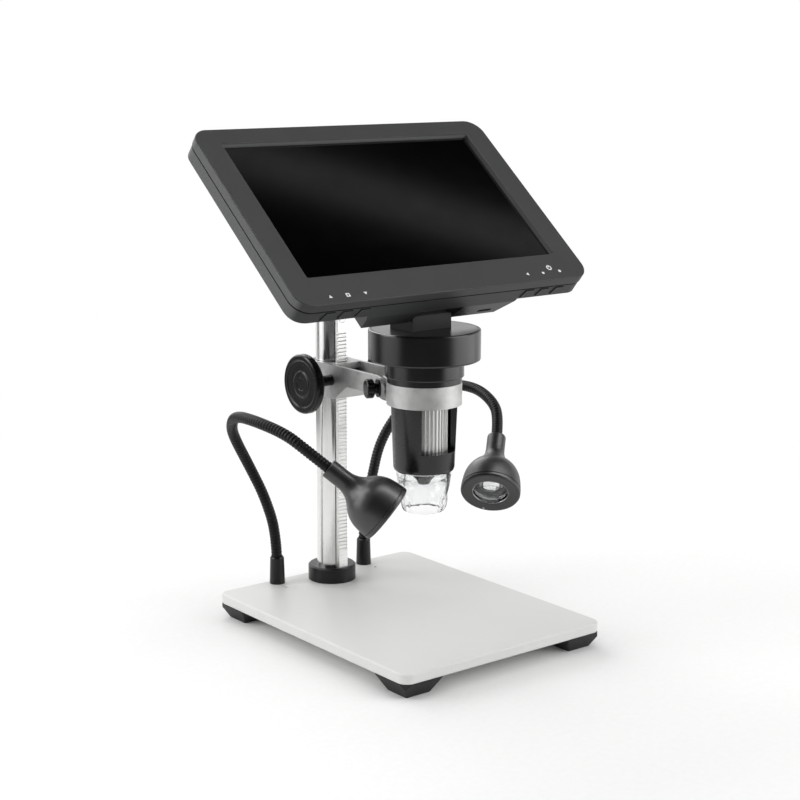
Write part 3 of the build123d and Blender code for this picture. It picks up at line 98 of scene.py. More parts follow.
# ---- sizes and colours a user would change ---------------------------------
def length(name, about, value):
    return bpy.props.FloatProperty(name=name, description=about, default=value, min=0.0,
                                   subtype="DISTANCE", unit="LENGTH", precision=4)


def paint(name, about, value):
    return bpy.props.FloatVectorProperty(name=name, description=about, default=value, min=0.0, max=1.0,
                                         size=3, subtype="COLOR")


class MicroscopeSizes(bpy.types.PropertyGroup):
    plate_corner: length("Plate corner", "Corner radius of the base plate", 0.0060)
    plate_edge: length("Plate edge", "Rounding of the plate's upper and lower edge", 0.0009)
    knob_radius: length("Knob radius", "Outside radius of the focus knobs", 0.0160)
    lamp_radius: length("Lamp radius", "Radius of a lamp head at its front ring", 0.01575)
    lamp_length: length("Lamp length", "Lamp head from its sleeve to its front", 0.0382)
    lamp_window: length("Lamp window", "Radius of the opening in a lamp's front", 0.0094)
    neck_radius: length("Neck radius", "Outside radius of the bendable necks", 0.0030)
    neck_pitch: length("Neck pitch", "Distance from one coil of a neck to the next", 0.0018)
    wheel_radius: length("Wheel radius", "Outside radius of the fine focus wheel", 0.0123)
    screen_width: length("Screen width", "Width of the screen's case", 0.1872)
    screen_height: length("Screen height", "Height of the screen's case", 0.1224)
    screen_corner: length("Screen corner", "Corner radius of the screen's case", 0.0095)
    glass_width: length("Glass width", "Width of the opening over the glass", 0.1600)
    glass_height: length("Glass height", "Height of the opening over the glass", 0.0942)
    glass_up: length("Glass offset", "Middle of the glass above the middle of the case", 0.0036)
    glass_deep: length("Glass depth", "Glass below the face of the case", 0.0022)


class MicroscopeColours(bpy.types.PropertyGroup):
    plate: paint("Plate paint", "Paint of the base plate", (0.675, 0.675, 0.66))
    case: paint("Screen case", "Moulded face of the screen", (0.028, 0.0285, 0.029))
    # Paler grey painted on the case's flanks and the upper wall of its opening: painted light where light falls on
    # them.
    lit_flank: paint("Screen flank", "Sides of the screen's case", (0.095, 0.097, 0.098))
    black: paint("Black plastic", "Satin black of the tube and disc", (0.0034, 0.0035, 0.0040))
    gloss: paint("Black enamel", "Glossier black of the lamps and knobs", (0.0040, 0.0041, 0.0046))
    column: paint("Column", "Anodised aluminium of the column", (0.80, 0.80, 0.79))
    casting: paint("Casting", "Cast metal of the carriage", (0.54, 0.54, 0.535))
    wheel: paint("Wheel", "Ribbed wheel behind the window", (0.62, 0.62, 0.61))


def sizes():
    return bpy.context.scene.microscope_sizes


def colours():
    return bpy.context.scene.microscope_colours


# ---- places -----------------------------------------------------------------
def axes(origin, x, y, z):
    """Place with a given origin and three directions."""
    turn = Matrix((x, y, z)).transposed().to_4x4()
    turn.translation = origin
    return turn


def screen_place():
    """Middle of the screen's face: X sideways, Y up the screen, Z out of it."""
    up = Vector((0, sin(SCREEN_LEAN), cos(SCREEN_LEAN)))
    out = Vector((0, -cos(SCREEN_LEAN), sin(SCREEN_LEAN)))
    return axes(HINGE + up * SCREEN_UP + out * SCREEN_OUT, Vector((1, 0, 0)), up, out)


def lamp_beam(side):
    return Vector((side * LAMP_AIM.x, LAMP_AIM.y, LAMP_AIM.z))


def lamp_place(side):
    """Where the neck enters a lamp, Z along its beam."""
    beam = lamp_beam(side)
    across = Vector((beam.y, -beam.x, 0)).normalized()
    return axes(socket_place(side, LAMP_AT), across, beam.cross(across), beam)


def socket_place(side, step):
    """A point given from the foot of the lamp's socket."""
    return Vector((side * (SOCKET.x + step[0]), SOCKET.y + step[1], SOCKET.z + step[2]))


# ---- mesh helpers -----------------------------------------------------------
def held(profile, reach=0.00015):
    """The same outline with a point close to each end of every long run, so that its shading stays flat."""
    line = [profile[0]]
    for a, b in zip(profile, profile[1:]):
        run = (Vector(b) - Vector(a)).length
        if run > 8 * reach:
            line += [tuple(Vector(a).lerp(Vector(b), t)) for t in (reach / run, 1 - reach / run)]
        line.append(b)
    return line


def spun(profile, steps=72):
    """Turned body about Z from (radius, height) points."""
    bm = bmesh.new()
    row = [bm.verts.new((r, 0, z)) for r, z in held(profile)]
    wire = [bm.edges.new(pair) for pair in zip(row, row[1:])]
    bmesh.ops.spin(bm, geom=row + wire, cent=(0, 0, 0), axis=(0, 0, 1), angle=tau, steps=steps,
                   use_merge=True)
    bmesh.ops.remove_doubles(bm, verts=bm.verts, dist=1e-6)
    bmesh.ops.recalc_face_normals(bm, faces=bm.faces)
    return bm


def rounded_sheet(bm, half_w, half_h, radius, steps, z):
    """Flat face with rounded corners."""
    spots = [bm.verts.new((sx * half_w, sy * half_h, z)) for sx, sy in ((-1, -1), (1, -1), (1, 1), (-1, 1))]
    face = bm.faces.new(spots)
    bmesh.ops.bevel(bm, geom=spots, offset=radius, offset_type="OFFSET", segments=steps, profile=0.5,
                    affect="VERTICES", material=-1)
    return max(bm.faces, key=lambda f: len(f.verts))


def pushed(bm, faces, step):
    """Extrude faces and move the new ones."""
    made = bmesh.ops.extrude_face_region(bm, geom=faces)["geom"]
    bmesh.ops.translate(bm, verts=[g for g in made if isinstance(g, bmesh.types.BMVert)], vec=step)
    return [g for g in made if isinstance(g, bmesh.types.BMFace)]


def rounded(bm, edges, width, segments):
    bmesh.ops.bevel(bm, geom=edges, offset=width, offset_type="OFFSET", segments=segments, profile=0.5,
                    affect="EDGES", clamp_overlap=True, material=-1)


def softened(bm, width, segments, above, keep=lambda edge: True):
    """Round every edge sharper than an angle."""
    rounded(bm, [e for e in bm.edges if e.is_manifold and e.calc_face_angle(0.0) > radians(above) and keep(e)],
            width, segments)


def linked(name, data):
    obj = bpy.data.objects.new(name, data)
    bpy.context.scene.collection.objects.link(obj)
    return obj


def piece(bm, name, body=None, slot=None, place=None, finish=None, sharp=32.0, replaces=()):
    """Make a finished object, riding on a body, with its place in its mesh. Its finish is its slot's unless named."""
    bmesh.ops.recalc_face_normals(bm, faces=bm.faces)
    if place is not None:
        bmesh.ops.transform(bm, matrix=place, verts=bm.verts)
    mesh = bpy.data.meshes.new(name)
    bm.to_mesh(mesh)
    bm.free()
    mesh.shade_smooth()
    mesh.set_sharp_from_angle(angle=radians(sharp))
    mesh.materials.append(FINISHES[finish or slot])
    obj = linked(name, mesh)
    if body:
        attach(obj, body)
    if replaces:
        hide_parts(*replaces)
    return obj


def curve_points(points, per_run):
    """Smooth (radius, height) line through a few points."""
    ends = [points[0]] + list(points) + [points[-1]]
    line = []
    for a, b, c, d in zip(ends, ends[1:], ends[2:], ends[3:]):
        for step in range(per_run):
            t = step / per_run
            line.append(tuple(
                0.5 * (2 * q + (r - p) * t + (2 * p - 5 * q + 4 * r - s) * t * t + (3 * q - p - 3 * r + s) * t ** 3)
                for p, q, r, s in zip(a, b, c, d)))
    return line + [tuple(points[-1])]


# ---- finishes ---------------------------------------------------------------
def add(tree, kind, inputs=(), **settings):
    node = tree.nodes.new(kind)
    for key, value in settings.items():
        setattr(node, key, value)
    for key, value in dict(inputs).items():
        socket = node.inputs[key]
        if isinstance(value, bpy.types.NodeSocket):
            tree.links.new(value, socket)
        else:
            socket.default_value = value
    return node


def rgba(colour, times=1.0):
    return tuple(min(c * times, 1.0) for c in colour[:3]) + (1.0,)


def blank(name):
    material = bpy.data.materials.new(name)
    material.use_nodes = True
    return material, material.node_tree, material.node_tree.nodes["Principled BSDF"]


def place_of(tree, stretch=(1, 1, 1)):
    """Object coordinates in metres, stretched along the grain."""
    spot = add(tree, "ShaderNodeTexCoord").outputs["Object"]
    return add(tree, "ShaderNodeMapping", {"Vector": spot, "Scale": stretch}).outputs["Vector"]


def noise(tree, spot, scale, detail=2.0, roughness=0.5):
    return add(tree, "ShaderNodeTexNoise", {"Vector": spot, "Scale": scale, "Detail": detail,
                                            "Roughness": roughness}).outputs["Fac"]


def between(tree, value, low, high, span=(0.3, 0.7), kind="LINEAR"):
    """Low to high as a value runs through a span."""
    return add(tree, "ShaderNodeMapRange", {"Value": value, "From Min": span[0], "From Max": span[1],
                                            "To Min": low, "To Max": high}, interpolation_type=kind).outputs["Result"]


def maths(tree, operation, *values):
    return add(tree, "ShaderNodeMath", enumerate(values), operation=operation).outputs[0]


def relieved(tree, shader, height, strength, depth):
    """Bump a shader by a height."""
    bump = add(tree, "ShaderNodeBump", {"Height": height, "Strength": strength, "Distance": depth})
    tree.links.new(bump.outputs["Normal"], shader.inputs["Normal"])


def blended(tree, factor, first, second):
    mix = add(tree, "ShaderNodeMix", data_type="RGBA")
    tree.links.new(factor, mix.inputs["Factor"])
    mix.inputs[6].default_value = first
    mix.inputs[7].default_value = second
    return mix.outputs[2]


def moulded(name, colour, roughness, grain, relief, mottle, specular=0.5, coat=0.0, depth=0.00004, spread=0.02):
    """Moulded or painted surface: fine grain, faint clouding, uneven gloss."""
    material, tree, shader = blank(name)
    spot = place_of(tree)
    clouds = noise(tree, spot, 70.0, 4.0, 0.6)
    fine = noise(tree, spot, grain, 3.0)
    tree.links.new(blended(tree, between(tree, clouds, 0.0, 1.0), rgba(colour, 1 - mottle),
                           rgba(colour, 1 + mottle)), shader.inputs["Base Color"])
    tree.links.new(between(tree, clouds, roughness - spread, roughness + spread), shader.inputs["Roughness"])
    relieved(tree, shader, fine, relief, depth)
    shader.inputs["Specular IOR Level"].default_value = specular
    shader.inputs["Coat Weight"].default_value = coat
    shader.inputs["Coat Roughness"].default_value = 0.2
    return material


def drawn(name, colour, roughness=0.3, stretch=(900, 900, 8), relief=0.10, mottle=0.10, metallic=1.0):
    """Drawn, brushed or turned metal: streaks along one direction."""
    material, tree, shader = blank(name)
    streaks = noise(tree, place_of(tree, stretch), 1.0, 3.0, 0.6)
    clouds = noise(tree, place_of(tree), 45.0, 3.0)
    tree.links.new(blended(tree, between(tree, streaks, 0.0, 1.0), rgba(colour, 1 - mottle),
                           rgba(colour, 1 + mottle)), shader.inputs["Base Color"])
    both = maths(tree, "ADD", streaks, clouds)
    tree.links.new(between(tree, both, roughness - 0.07, roughness + 0.09, (0.7, 1.3)),
                   shader.inputs["Roughness"])
    relieved(tree, shader, streaks, relief, 0.00003)
    shader.inputs["Metallic"].default_value = metallic
    return material


def cast(name, colour, roughness):
    """Sand-blasted casting: pitted relief and patchy tone."""
    material, tree, shader = blank(name)
    spot = place_of(tree)
    pits = add(tree, "ShaderNodeTexVoronoi", {"Vector": spot, "Scale": 1500.0}).outputs["Distance"]
    patches = noise(tree, spot, 160.0, 5.0, 0.62)
    tree.links.new(blended(tree, between(tree, patches, 0.0, 1.0), rgba(colour, 0.84), rgba(colour, 1.12)),
                   shader.inputs["Base Color"])
    tree.links.new(between(tree, patches, roughness - 0.06, roughness + 0.10), shader.inputs["Roughness"])
    relieved(tree, shader, maths(tree, "ADD", pits, patches), 0.32, 0.00009)
    shader.inputs["Metallic"].default_value = 0.85
    return material


def clear(name, tint, roughness, ior, ripple):
    """Clear moulded plastic with faint flow ripples."""
    material, tree, shader = blank(name)
    spot = place_of(tree)
    flow = noise(tree, spot, 190.0, 2.0)
    tree.links.new(blended(tree, between(tree, flow, 0.0, 1.0), rgba(tint, 0.985), rgba(tint)),
                   shader.inputs["Base Color"])
    tree.links.new(between(tree, flow, roughness, roughness + 0.05), shader.inputs["Roughness"])
    relieved(tree, shader, flow, ripple, 0.0004)
    shader.inputs["Transmission Weight"].default_value = 1.0
    shader.inputs["IOR"].default_value = ior
    return material


def case_with_painted_light(name, face, side):
    """Screen case: textured dark face; its flanks and the upper wall of the opening are painted paler, a painted
    highlight for the light that falls on them.
    """
    material = moulded(name, face, 0.46, 2100.0, 0.16, 0.05, specular=0.32)
    tree = material.node_tree
    shader = tree.nodes["Principled BSDF"]
    back = screen_place().inverted()
    there = add(tree, "ShaderNodeMapping", {"Vector": add(tree, "ShaderNodeTexCoord").outputs["Object"],
                                            "Rotation": screen_place().to_3x3().inverted().to_euler(),
                                            "Location": back.translation})
    x, up, out = add(tree, "ShaderNodeSeparateXYZ", {0: there.outputs["Vector"]}).outputs[:3]
    # Masks of the painted highlight: the flanks beyond the face and the upper wall of the opening, both only below
    # the face.
    lit_flank = between(tree, maths(tree, "ABSOLUTE", x), 0.0, 1.0, (0.0905, 0.0925))
    lit_upper_wall = between(tree, up, 0.0, 1.0, (0.0495, 0.0500))
    below = between(tree, out, 1.0, 0.0, (-0.0006, -0.0002))
    share = maths(tree, "MULTIPLY", maths(tree, "MAXIMUM", lit_flank, lit_upper_wall), below)
    # Mix the paler side colour into these parts: painted light.
    mix = add(tree, "ShaderNodeMix", data_type="RGBA")
    tree.links.new(share, mix.inputs["Factor"])
    tree.links.new(shader.inputs["Base Color"].links[0].from_socket, mix.inputs[6])
    mix.inputs[7].default_value = rgba(side)
    tree.links.new(mix.outputs[2], shader.inputs["Base Color"])
    return material


def board_finish(name, base, trace):
    """Circuit board: solder mask over fine copper runs."""
    material, tree, shader = blank(name)
    spot = place_of(tree, (700, 700, 700))
    runs = add(tree, "ShaderNodeTexBrick", {"Vector": spot, "Scale": 1.0, "Mortar Size": 0.06})
    tree.links.new(blended(tree, between(tree, runs.outputs["Fac"], 0.0, 1.0, (0.2, 0.8)), rgba(base),
                           rgba(trace)), shader.inputs["Base Color"])
    tree.links.new(between(tree, noise(tree, spot, 0.4), 0.25, 0.45), shader.inputs["Roughness"])
    return material


FINISHES = {}


def finished(kind, name, *values, **more):
    """Make a finish of one kind and keep it by name."""
    FINISHES[name] = kind(name, *values, **more)


def make_finishes():
    """Every finish by name: colour, roughness, then each kind's own measures in order."""
    c = colours()
    finished(moulded, "plate_paint", c.plate, 0.45, 1500.0, 0.10, 0.012, specular=0.45, spread=0.03)
    finished(moulded, "foot_rubber", (0.018, 0.018, 0.019), 0.55, 1900.0, 0.30, 0.15, specular=0.3)
    finished(drawn, "screw_steel", (0.58, 0.58, 0.59), 0.28, (500, 500, 500))
    finished(drawn, "column_aluminium", c.column, 0.23, (1400, 1400, 5), 0.05, 0.05)
    finished(drawn, "rack_steel", (0.84, 0.84, 0.83), 0.36, (60, 900, 900), 0.10, 0.08)
    finished(moulded, "black_metal", c.gloss, 0.36, 2200.0, 0.10, 0.12, specular=0.4)
    finished(cast, "cast_bracket", c.casting, 0.46)
    finished(drawn, "bush_brass", (0.62, 0.45, 0.20), 0.3, (300, 300, 1500))
    finished(drawn, "bush_grey", (0.16, 0.16, 0.165), 0.36, (300, 300, 1500))
    finished(drawn, "pinion_steel", (0.52, 0.52, 0.53), 0.26, (1200, 300, 300))
    finished(moulded, "knob_black", c.gloss, 0.27, 2600.0, 0.07, 0.06, specular=0.35)
    finished(moulded, "tube_black", c.black, 0.27, 3000.0, 0.08, 0.10, specular=0.6)
    finished(moulded, "disc_black", c.black, 0.24, 3000.0, 0.06, 0.10, specular=0.6)
    # A darker, duller copy of the black plastic for the hinge post under the screen: painted shade.
    finished(moulded, "post_black", (0.003, 0.003, 0.0034), 0.45, 2600.0, 0.10, 0.10, specular=0.25)
    finished(clear, "hood_clear", (0.93, 0.935, 0.94), 0.03, 1.45, 0.25)
    finished(drawn, "wheel_silver", c.wheel, 0.34, (300, 300, 40), 0.06, 0.05, metallic=0.8)
    finished(clear, "lens_glass", (0.9, 0.93, 0.97), 0.01, 1.5, 0.0)
    finished(board_finish, "circuit_board", (0.012, 0.09, 0.04), (0.05, 0.2, 0.09))
    finished(moulded, "led_white", (0.86, 0.85, 0.78), 0.25, 900.0, 0.04, 0.02)
    # Both case finishes paint their flanks and the opening's upper wall paler: painted light.
    finished(case_with_painted_light, "bezel_grey", c.case, c.lit_flank)
    finished(case_with_painted_light, "rear_grey", (0.024, 0.025, 0.026), c.lit_flank)
    # Dull near-black finish of the painted shade in the screen's parting groove.
    finished(moulded, "gap_black", (0.002, 0.002, 0.002), 0.7, 900.0, 0.05, 0.1, specular=0.1)
    finished(moulded, "screen_glass", (0.0008, 0.0008, 0.0009), 0.09, 700.0, 0.004, 0.05, specular=0.25,
             spread=0.01)
    finished(drawn, "panel_metal", (0.5, 0.5, 0.51), 0.34, (30, 900, 900))
    finished(moulded, "battery_wrap", (0.05, 0.12, 0.35), 0.3, 240.0, 0.35, 0.06, depth=0.0003)
    finished(moulded, "lamp_black", c.gloss, 0.42, 2800.0, 0.04, 0.05, specular=0.8, coat=0.15, spread=0.005)
    finished(moulded, "hose_black", (0.007, 0.007, 0.0075), 0.38, 2400.0, 0.10, 0.12, specular=0.2)
    finished(drawn, "bead_steel", (0.42, 0.42, 0.42), 0.22, (400, 400, 400), 0.02, 0.03)
    finished(drawn, "cup_grey", (0.24, 0.24, 0.242), 0.10, (400, 400, 400), 0.02, 0.03)
    finished(drawn, "reflector_chrome", (0.86, 0.86, 0.85), 0.10, (400, 400, 400), 0.02, 0.03)
    finished(moulded, "mark_white", (0.80, 0.80, 0.79), 0.5, 1500.0, 0.03, 0.02)
    finished(clear, "lamp_clear", (0.96, 0.97, 0.98), 0.02, 1.3, 0.02)


NODE_FINISH = {
    "base_plate": "plate_paint", "corner_feet": "foot_rubber", "foot_screws": "screw_steel",
    "column_tube": "column_aluminium", "gear_rack": "rack_steel", "rack_screws": "screw_steel",
    "column_collar": "black_metal", "column_cap": "black_metal", "column_bolt": "screw_steel",
    "lamp_sockets": "black_metal", "socket_nuts": "screw_steel", "carriage_bracket": "cast_bracket",
    "guide_bush": "bush_grey", "pinion_bushes": "bush_grey", "pinion_gear": "pinion_steel",
    "left_focus_knob": "knob_black", "right_focus_knob": "knob_black", "clamp_screw": "screw_steel",
    "clamp_knob": "knob_black", "tube_shell": "tube_black", "disc_housing": "disc_black",
    "disc_lid": "disc_black", "sensor_board": "circuit_board", "led_ring_board": "circuit_board",
    "ring_leds": "led_white", "clear_hood": "hood_clear", "hinge_post": "post_black",
    "focus_wheel": "wheel_silver", "lens_barrel": "tube_black", "lens_elements": "lens_glass",
    "hinge_pin": "screw_steel", "friction_washers": "bush_brass", "front_bezel": "bezel_grey",
    "rear_shell": "rear_grey", "screen_glass": "screen_glass", "lcd_panel": "panel_metal",
    "main_board": "circuit_board", "battery": "battery_wrap", "card_reader": "panel_metal",
    "switch_boards": "circuit_board", "case_screws": "screw_steel",
}


def finish_of(node):
    """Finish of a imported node, by its own name or its kind."""
    if node in NODE_FINISH:
        return FINISHES[NODE_FINISH[node]]
    if node.startswith("key_"):
        return FINISHES["rear_grey"]
    for word, finish in (("hose", "hose_black"), ("shell", "lamp_black"), ("ring", "lamp_black"),
                         ("lens", "lamp_clear"), ("reflector", "reflector_chrome"),
                         ("emitter", "led_white")):
        if node.endswith(word):
            return FINISHES[finish]
    raise RuntimeError(f"no finish is chosen for {node}")


class MICROSCOPE_OT_finishes(bpy.types.Operator):
    """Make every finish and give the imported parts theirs"""
    bl_idname = "microscope.finishes"
    bl_label = "Finishes"

    def execute(self, context):
        make_finishes()
        for name, obj in NODES.items():
            obj.data.materials.clear()
            obj.data.materials.append(finish_of(name))
        return {"FINISHED"}


# ---- base -------------------------------------------------------------------
class MICROSCOPE_OT_base(bpy.types.Operator):
    """Base plate with rounded edges, and the two pins beside the column"""
    bl_idname = "microscope.base"
    bl_label = "Base Plate"

    def execute(self, context):
        s = sizes()
        low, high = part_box("base_plate")
        half = (high - low) / 2
        bm = bmesh.new()
        sheet = rounded_sheet(bm, half.x, half.y, s.plate_corner, 12, low.z)
        pushed(bm, [sheet], (0, 0, high.z - low.z))
        softened(bm, s.plate_edge, 3, 60.0)
        piece(bm, "painted_plate", "base", "plate_paint", sharp=15.0, replaces=["base_plate"])
        bm = bmesh.new()
        for side in (-1, 1):
            spot = Matrix.Translation((side * PLATE_PIN.x, PLATE_PIN.y, PLATE_PIN.z))
            bmesh.ops.create_cone(bm, cap_ends=True, segments=24, radius1=0.0009, radius2=0.0008,
                                  depth=0.0006, matrix=spot)
        softened(bm, 0.0001, 2, 50.0)
        piece(bm, "plate_pins", "base", "screw_steel")
        return {"FINISHED"}


# ---- knobs ------------------------------------------------------------------
def knob_profile(radius):
    """Dished hand wheel from its hub to its face, along its axle."""
    r, face, hub = radius, 0.0304, 0.0108
    back = face - 0.0050
    return [(0.0, hub), (0.0029, hub), (0.0029, back + 0.0002), (0.0034, back), (r - 0.0016, back),
            (r - 0.0008, back + 0.0002), (r - 0.0002, back + 0.0008), (r, back + 0.0014),
            (r, face - 0.0012), (r - 0.0003, face - 0.0005), (r - 0.0010, face), (r - 0.0028, face),
            (r - 0.0032, face - 0.0002), (r - 0.0038, face - 0.0006), (r - 0.0060, face - 0.0007),
            (0.0078, face - 0.0007), (0.0072, face - 0.0006), (0.0067, face - 0.0002), (0.0062, face - 0.0001),
            (0.0036, face - 0.0001), (0.0033, face - 0.0003), (0.0, face - 0.0003)]


class MICROSCOPE_OT_knobs(bpy.types.Operator):
    """Two turned focus knobs on the pinion's axle"""
    bl_idname = "microscope.knobs"
    bl_label = "Focus Knobs"

    def execute(self, context):
        for side, name in ((-1, "left"), (1, "right")):
            bm = spun(knob_profile(sizes().knob_radius), 96)
            place = Matrix.Translation(PINION) @ Matrix.Rotation(side * pi / 2, 4, "Y")
            piece(bm, f"{name}_hand_wheel", "pinion", "knob_black", place, sharp=28.0,
                  replaces=[f"{name}_focus_knob"])
        return {"FINISHED"}


# ---- lamps and necks --------------------------------------------------------
def bell_profile(s):
    """Outside of a lamp, sleeve to front ring, then back down inside."""
    r, ring = s.lamp_radius, s.lamp_length - RING_DEEP
    sleeve = [(0.0031, 0.0), (0.0044, 0.0), (0.0049, 0.0003), (0.0050, 0.0008), (0.0050, 0.0090)]
    dome = curve_points([(0.00515, 0.0115), (0.0057, 0.0136), (0.0068, 0.0160), (0.0088, 0.0186),
                         (0.0112, 0.0209), (0.0131, 0.0235), (r - 0.0012, 0.0268), (r - 0.0004, 0.0308),
                         (r, ring)], 4)
    back = [(r - 0.0014, ring), (r - 0.0015, 0.0309), (0.0129, 0.0262), (0.0105, 0.0225), (0.0072, 0.0192),
            (0.0050, 0.0150), (0.0031, 0.0125)]
    return sleeve + dome + back + [sleeve[0]]


def ring_profile(s):
    """Front ring of a lamp with the spigot that closes the seam behind it."""
    r, top = s.lamp_radius, s.lamp_length
    ring, window = top - RING_DEEP, s.lamp_window
    spigot = [(r - 0.0022, ring - 0.0008), (r - 0.0008, ring - 0.0008), (r - 0.0008, ring + 0.00035)]
    return spigot + [(r - 0.0001, ring + 0.00035), (r, ring + 0.00045), (r, top - 0.0010),
                     (r - 0.0003, top - 0.0004), (r - 0.0009, top - 0.00005), (r - 0.0014, top - 0.0001),
                     (window + 0.0012, top - 0.0005), (window + 0.0004, top - 0.0006), (window, top - 0.0010),
                     (window, top - 0.0014), (r - 0.0022, top - 0.0014), spigot[0]]


def reflector_profile(s):
    """Outer part of the mirror, and the brighter part round the chip."""
    z, rim = s.lamp_length - MIRROR_DEEP, s.lamp_window - 0.0002
    cup = curve_points([(0.0023, z - 0.0076), (0.0040, z - 0.0070), (0.0058, z - 0.0055), (0.0072, z - 0.0034),
                        (rim - 0.0012, z - 0.0012), (rim, z + 0.0002)], 4)
    half = len(cup) // 2
    outer = [(rim + 0.0025, z), (rim + 0.0025, z + 0.0004), (rim, z + 0.0004)] + list(reversed(cup[half:]))
    return outer, list(reversed(cup[:half + 1]))


def lamp_pieces(side, name, s):
    """Bell, ring, bead, window, mirror, chip and pin of one lamp."""
    place, body = lamp_place(side), f"{name}_lamp"
    top, window = s.lamp_length, s.lamp_window
    piece(spun(bell_profile(s), 96), f"{name}_bell", body, "lamp_black", place, sharp=40.0,
          replaces=[f"{name}_lamp_shell"])
    piece(spun(ring_profile(s), 96), f"{name}_front_ring", body, "lamp_black", place, sharp=40.0,
          replaces=[f"{name}_lamp_ring"])
    bead = [(window + 0.0002, top - 0.0009), (window + 0.0001, top - 0.0007), (window - 0.0001, top - 0.0007),
            (window - 0.0003, top - 0.0010), (window - 0.0002, top - 0.0013), (window + 0.0002, top - 0.0009)]
    piece(spun(bead), f"{name}_bright_bead", body, "reflector_chrome", place, "bead_steel")
    lens = curve_points([(0.0, top - 0.0014), (0.0050, top - 0.0016), (window + 0.0006, top - 0.0019)], 4)
    lens += [(window + 0.0006, top - 0.0024), (0.0, top - 0.0024)]
    piece(spun(lens, 64), f"{name}_window", body, "lens_glass", place, "lamp_clear", 40.0, [f"{name}_lamp_lens"])
    outer, inner = reflector_profile(s)
    piece(spun(outer), f"{name}_mirror", body, "reflector_chrome", place, "cup_grey", 60.0,
          [f"{name}_lamp_reflector"])
    piece(spun(inner), f"{name}_mirror_seat", body, "reflector_chrome", place, sharp=60.0)
    z = top - CHIP_DEEP
    seat = spun([(0.0, z - 0.0012), (0.0054, z - 0.0012), (0.0054, z), (0.0022, z), (0.0020, z + 0.0003),
                 (0.0020, z + 0.0010), (0.0016, z + 0.0020), (0.0009, z + 0.0026), (0.0, z + 0.0028)], 40)
    piece(seat, f"{name}_lamp_chip", body, "led_white", place, sharp=50.0, replaces=[f"{name}_lamp_emitter"])
    bm = bmesh.new()
    bmesh.ops.create_uvsphere(bm, u_segments=16, v_segments=8, radius=0.0005)
    bmesh.ops.scale(bm, vec=(1, 1, 0.35), verts=bm.verts)
    bmesh.ops.translate(bm, verts=bm.verts, vec=(*LAMP_PIN, top - 0.0001))
    piece(bm, f"{name}_front_pip", body, "lamp_black", place, "screw_steel")


def neck_line(side):
    """NURBS line of a neck, from inside its socket into its lamp."""
    end, beam = socket_place(side, LAMP_AT), lamp_beam(side)
    spots = [socket_place(side, step) for step in NECK_ROUTE] + [end - beam * NECK_TAIL, end + beam * 0.004]
    data = bpy.data.curves.new("neck_line", "CURVE")
    data.dimensions = "3D"
    spline = data.splines.new("NURBS")
    spline.points.add(len(spots) - 1)
    for point, spot in zip(spline.points, spots):
        point.co = (*spot, 1.0)
    spline.order_u = 3
    spline.use_endpoint_u = True
    spline.resolution_u = 32
    return linked("neck_line", data)


def line_length(obj):
    mesh = bpy.data.meshes.new_from_object(obj.evaluated_get(bpy.context.evaluated_depsgraph_get()))
    spots = [v.co.copy() for v in mesh.vertices]
    bpy.data.meshes.remove(mesh)
    return sum((b - a).length for a, b in zip(spots, spots[1:]))


def coiled_neck(total, s):
    """Straight coiled tube along X, one rounded rib for each turn."""
    r, count = s.neck_radius, int(total / s.neck_pitch)
    step = total / count
    rib = [(0.06, 0.90), (0.28, 0.99), (0.5, 1.0), (0.72, 0.99), (0.94, 0.90)]
    profile = [(r * NECK_ROOT, 0.0)]
    for k in range(count):
        profile += [(r * out, (k + along) * step) for along, out in rib]
    profile.append((r * NECK_ROOT, total))
    bm = spun([(0.0, 0.0)] + profile + [(0.0, total)], 20)
    bmesh.ops.rotate(bm, cent=(0, 0, 0), matrix=Matrix.Rotation(pi / 2, 3, "Y"), verts=bm.verts)
    return bm


class MICROSCOPE_OT_necks(bpy.types.Operator):
    """Two coiled necks from their sockets to the lamps"""
    bl_idname = "microscope.necks"
    bl_label = "Bendable Necks"

    def execute(self, context):
        s = sizes()
        for side, name in ((-1, "left"), (1, "right")):
            line = neck_line(side)
            context.view_layer.update()
            straight = piece(coiled_neck(line_length(line), s), "straight_neck", finish="hose_black", sharp=80.0)
            bend = straight.modifiers.new("bend", "CURVE")
            bend.object = line
            bend.deform_axis = "POS_X"
            context.view_layer.update()
            ready = straight.evaluated_get(context.evaluated_depsgraph_get())
            mesh = bpy.data.meshes.new_from_object(ready)
            mesh.name = f"{name}_neck"
            neck = linked(f"{name}_neck", mesh)
            for spare in (straight, line):
                bpy.data.objects.remove(spare, do_unlink=True)
            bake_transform(neck)
            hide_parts(f"{name}_lamp_hose")
        return {"FINISHED"}


class MICROSCOPE_OT_lamps(bpy.types.Operator):
    """Two bell lamps with ring, window, mirror and chip"""
    bl_idname = "microscope.lamps"
    bl_label = "Lamps"

    def execute(self, context):
        for side, name in ((-1, "left"), (1, "right")):
            lamp_pieces(side, name, sizes())
        return {"FINISHED"}


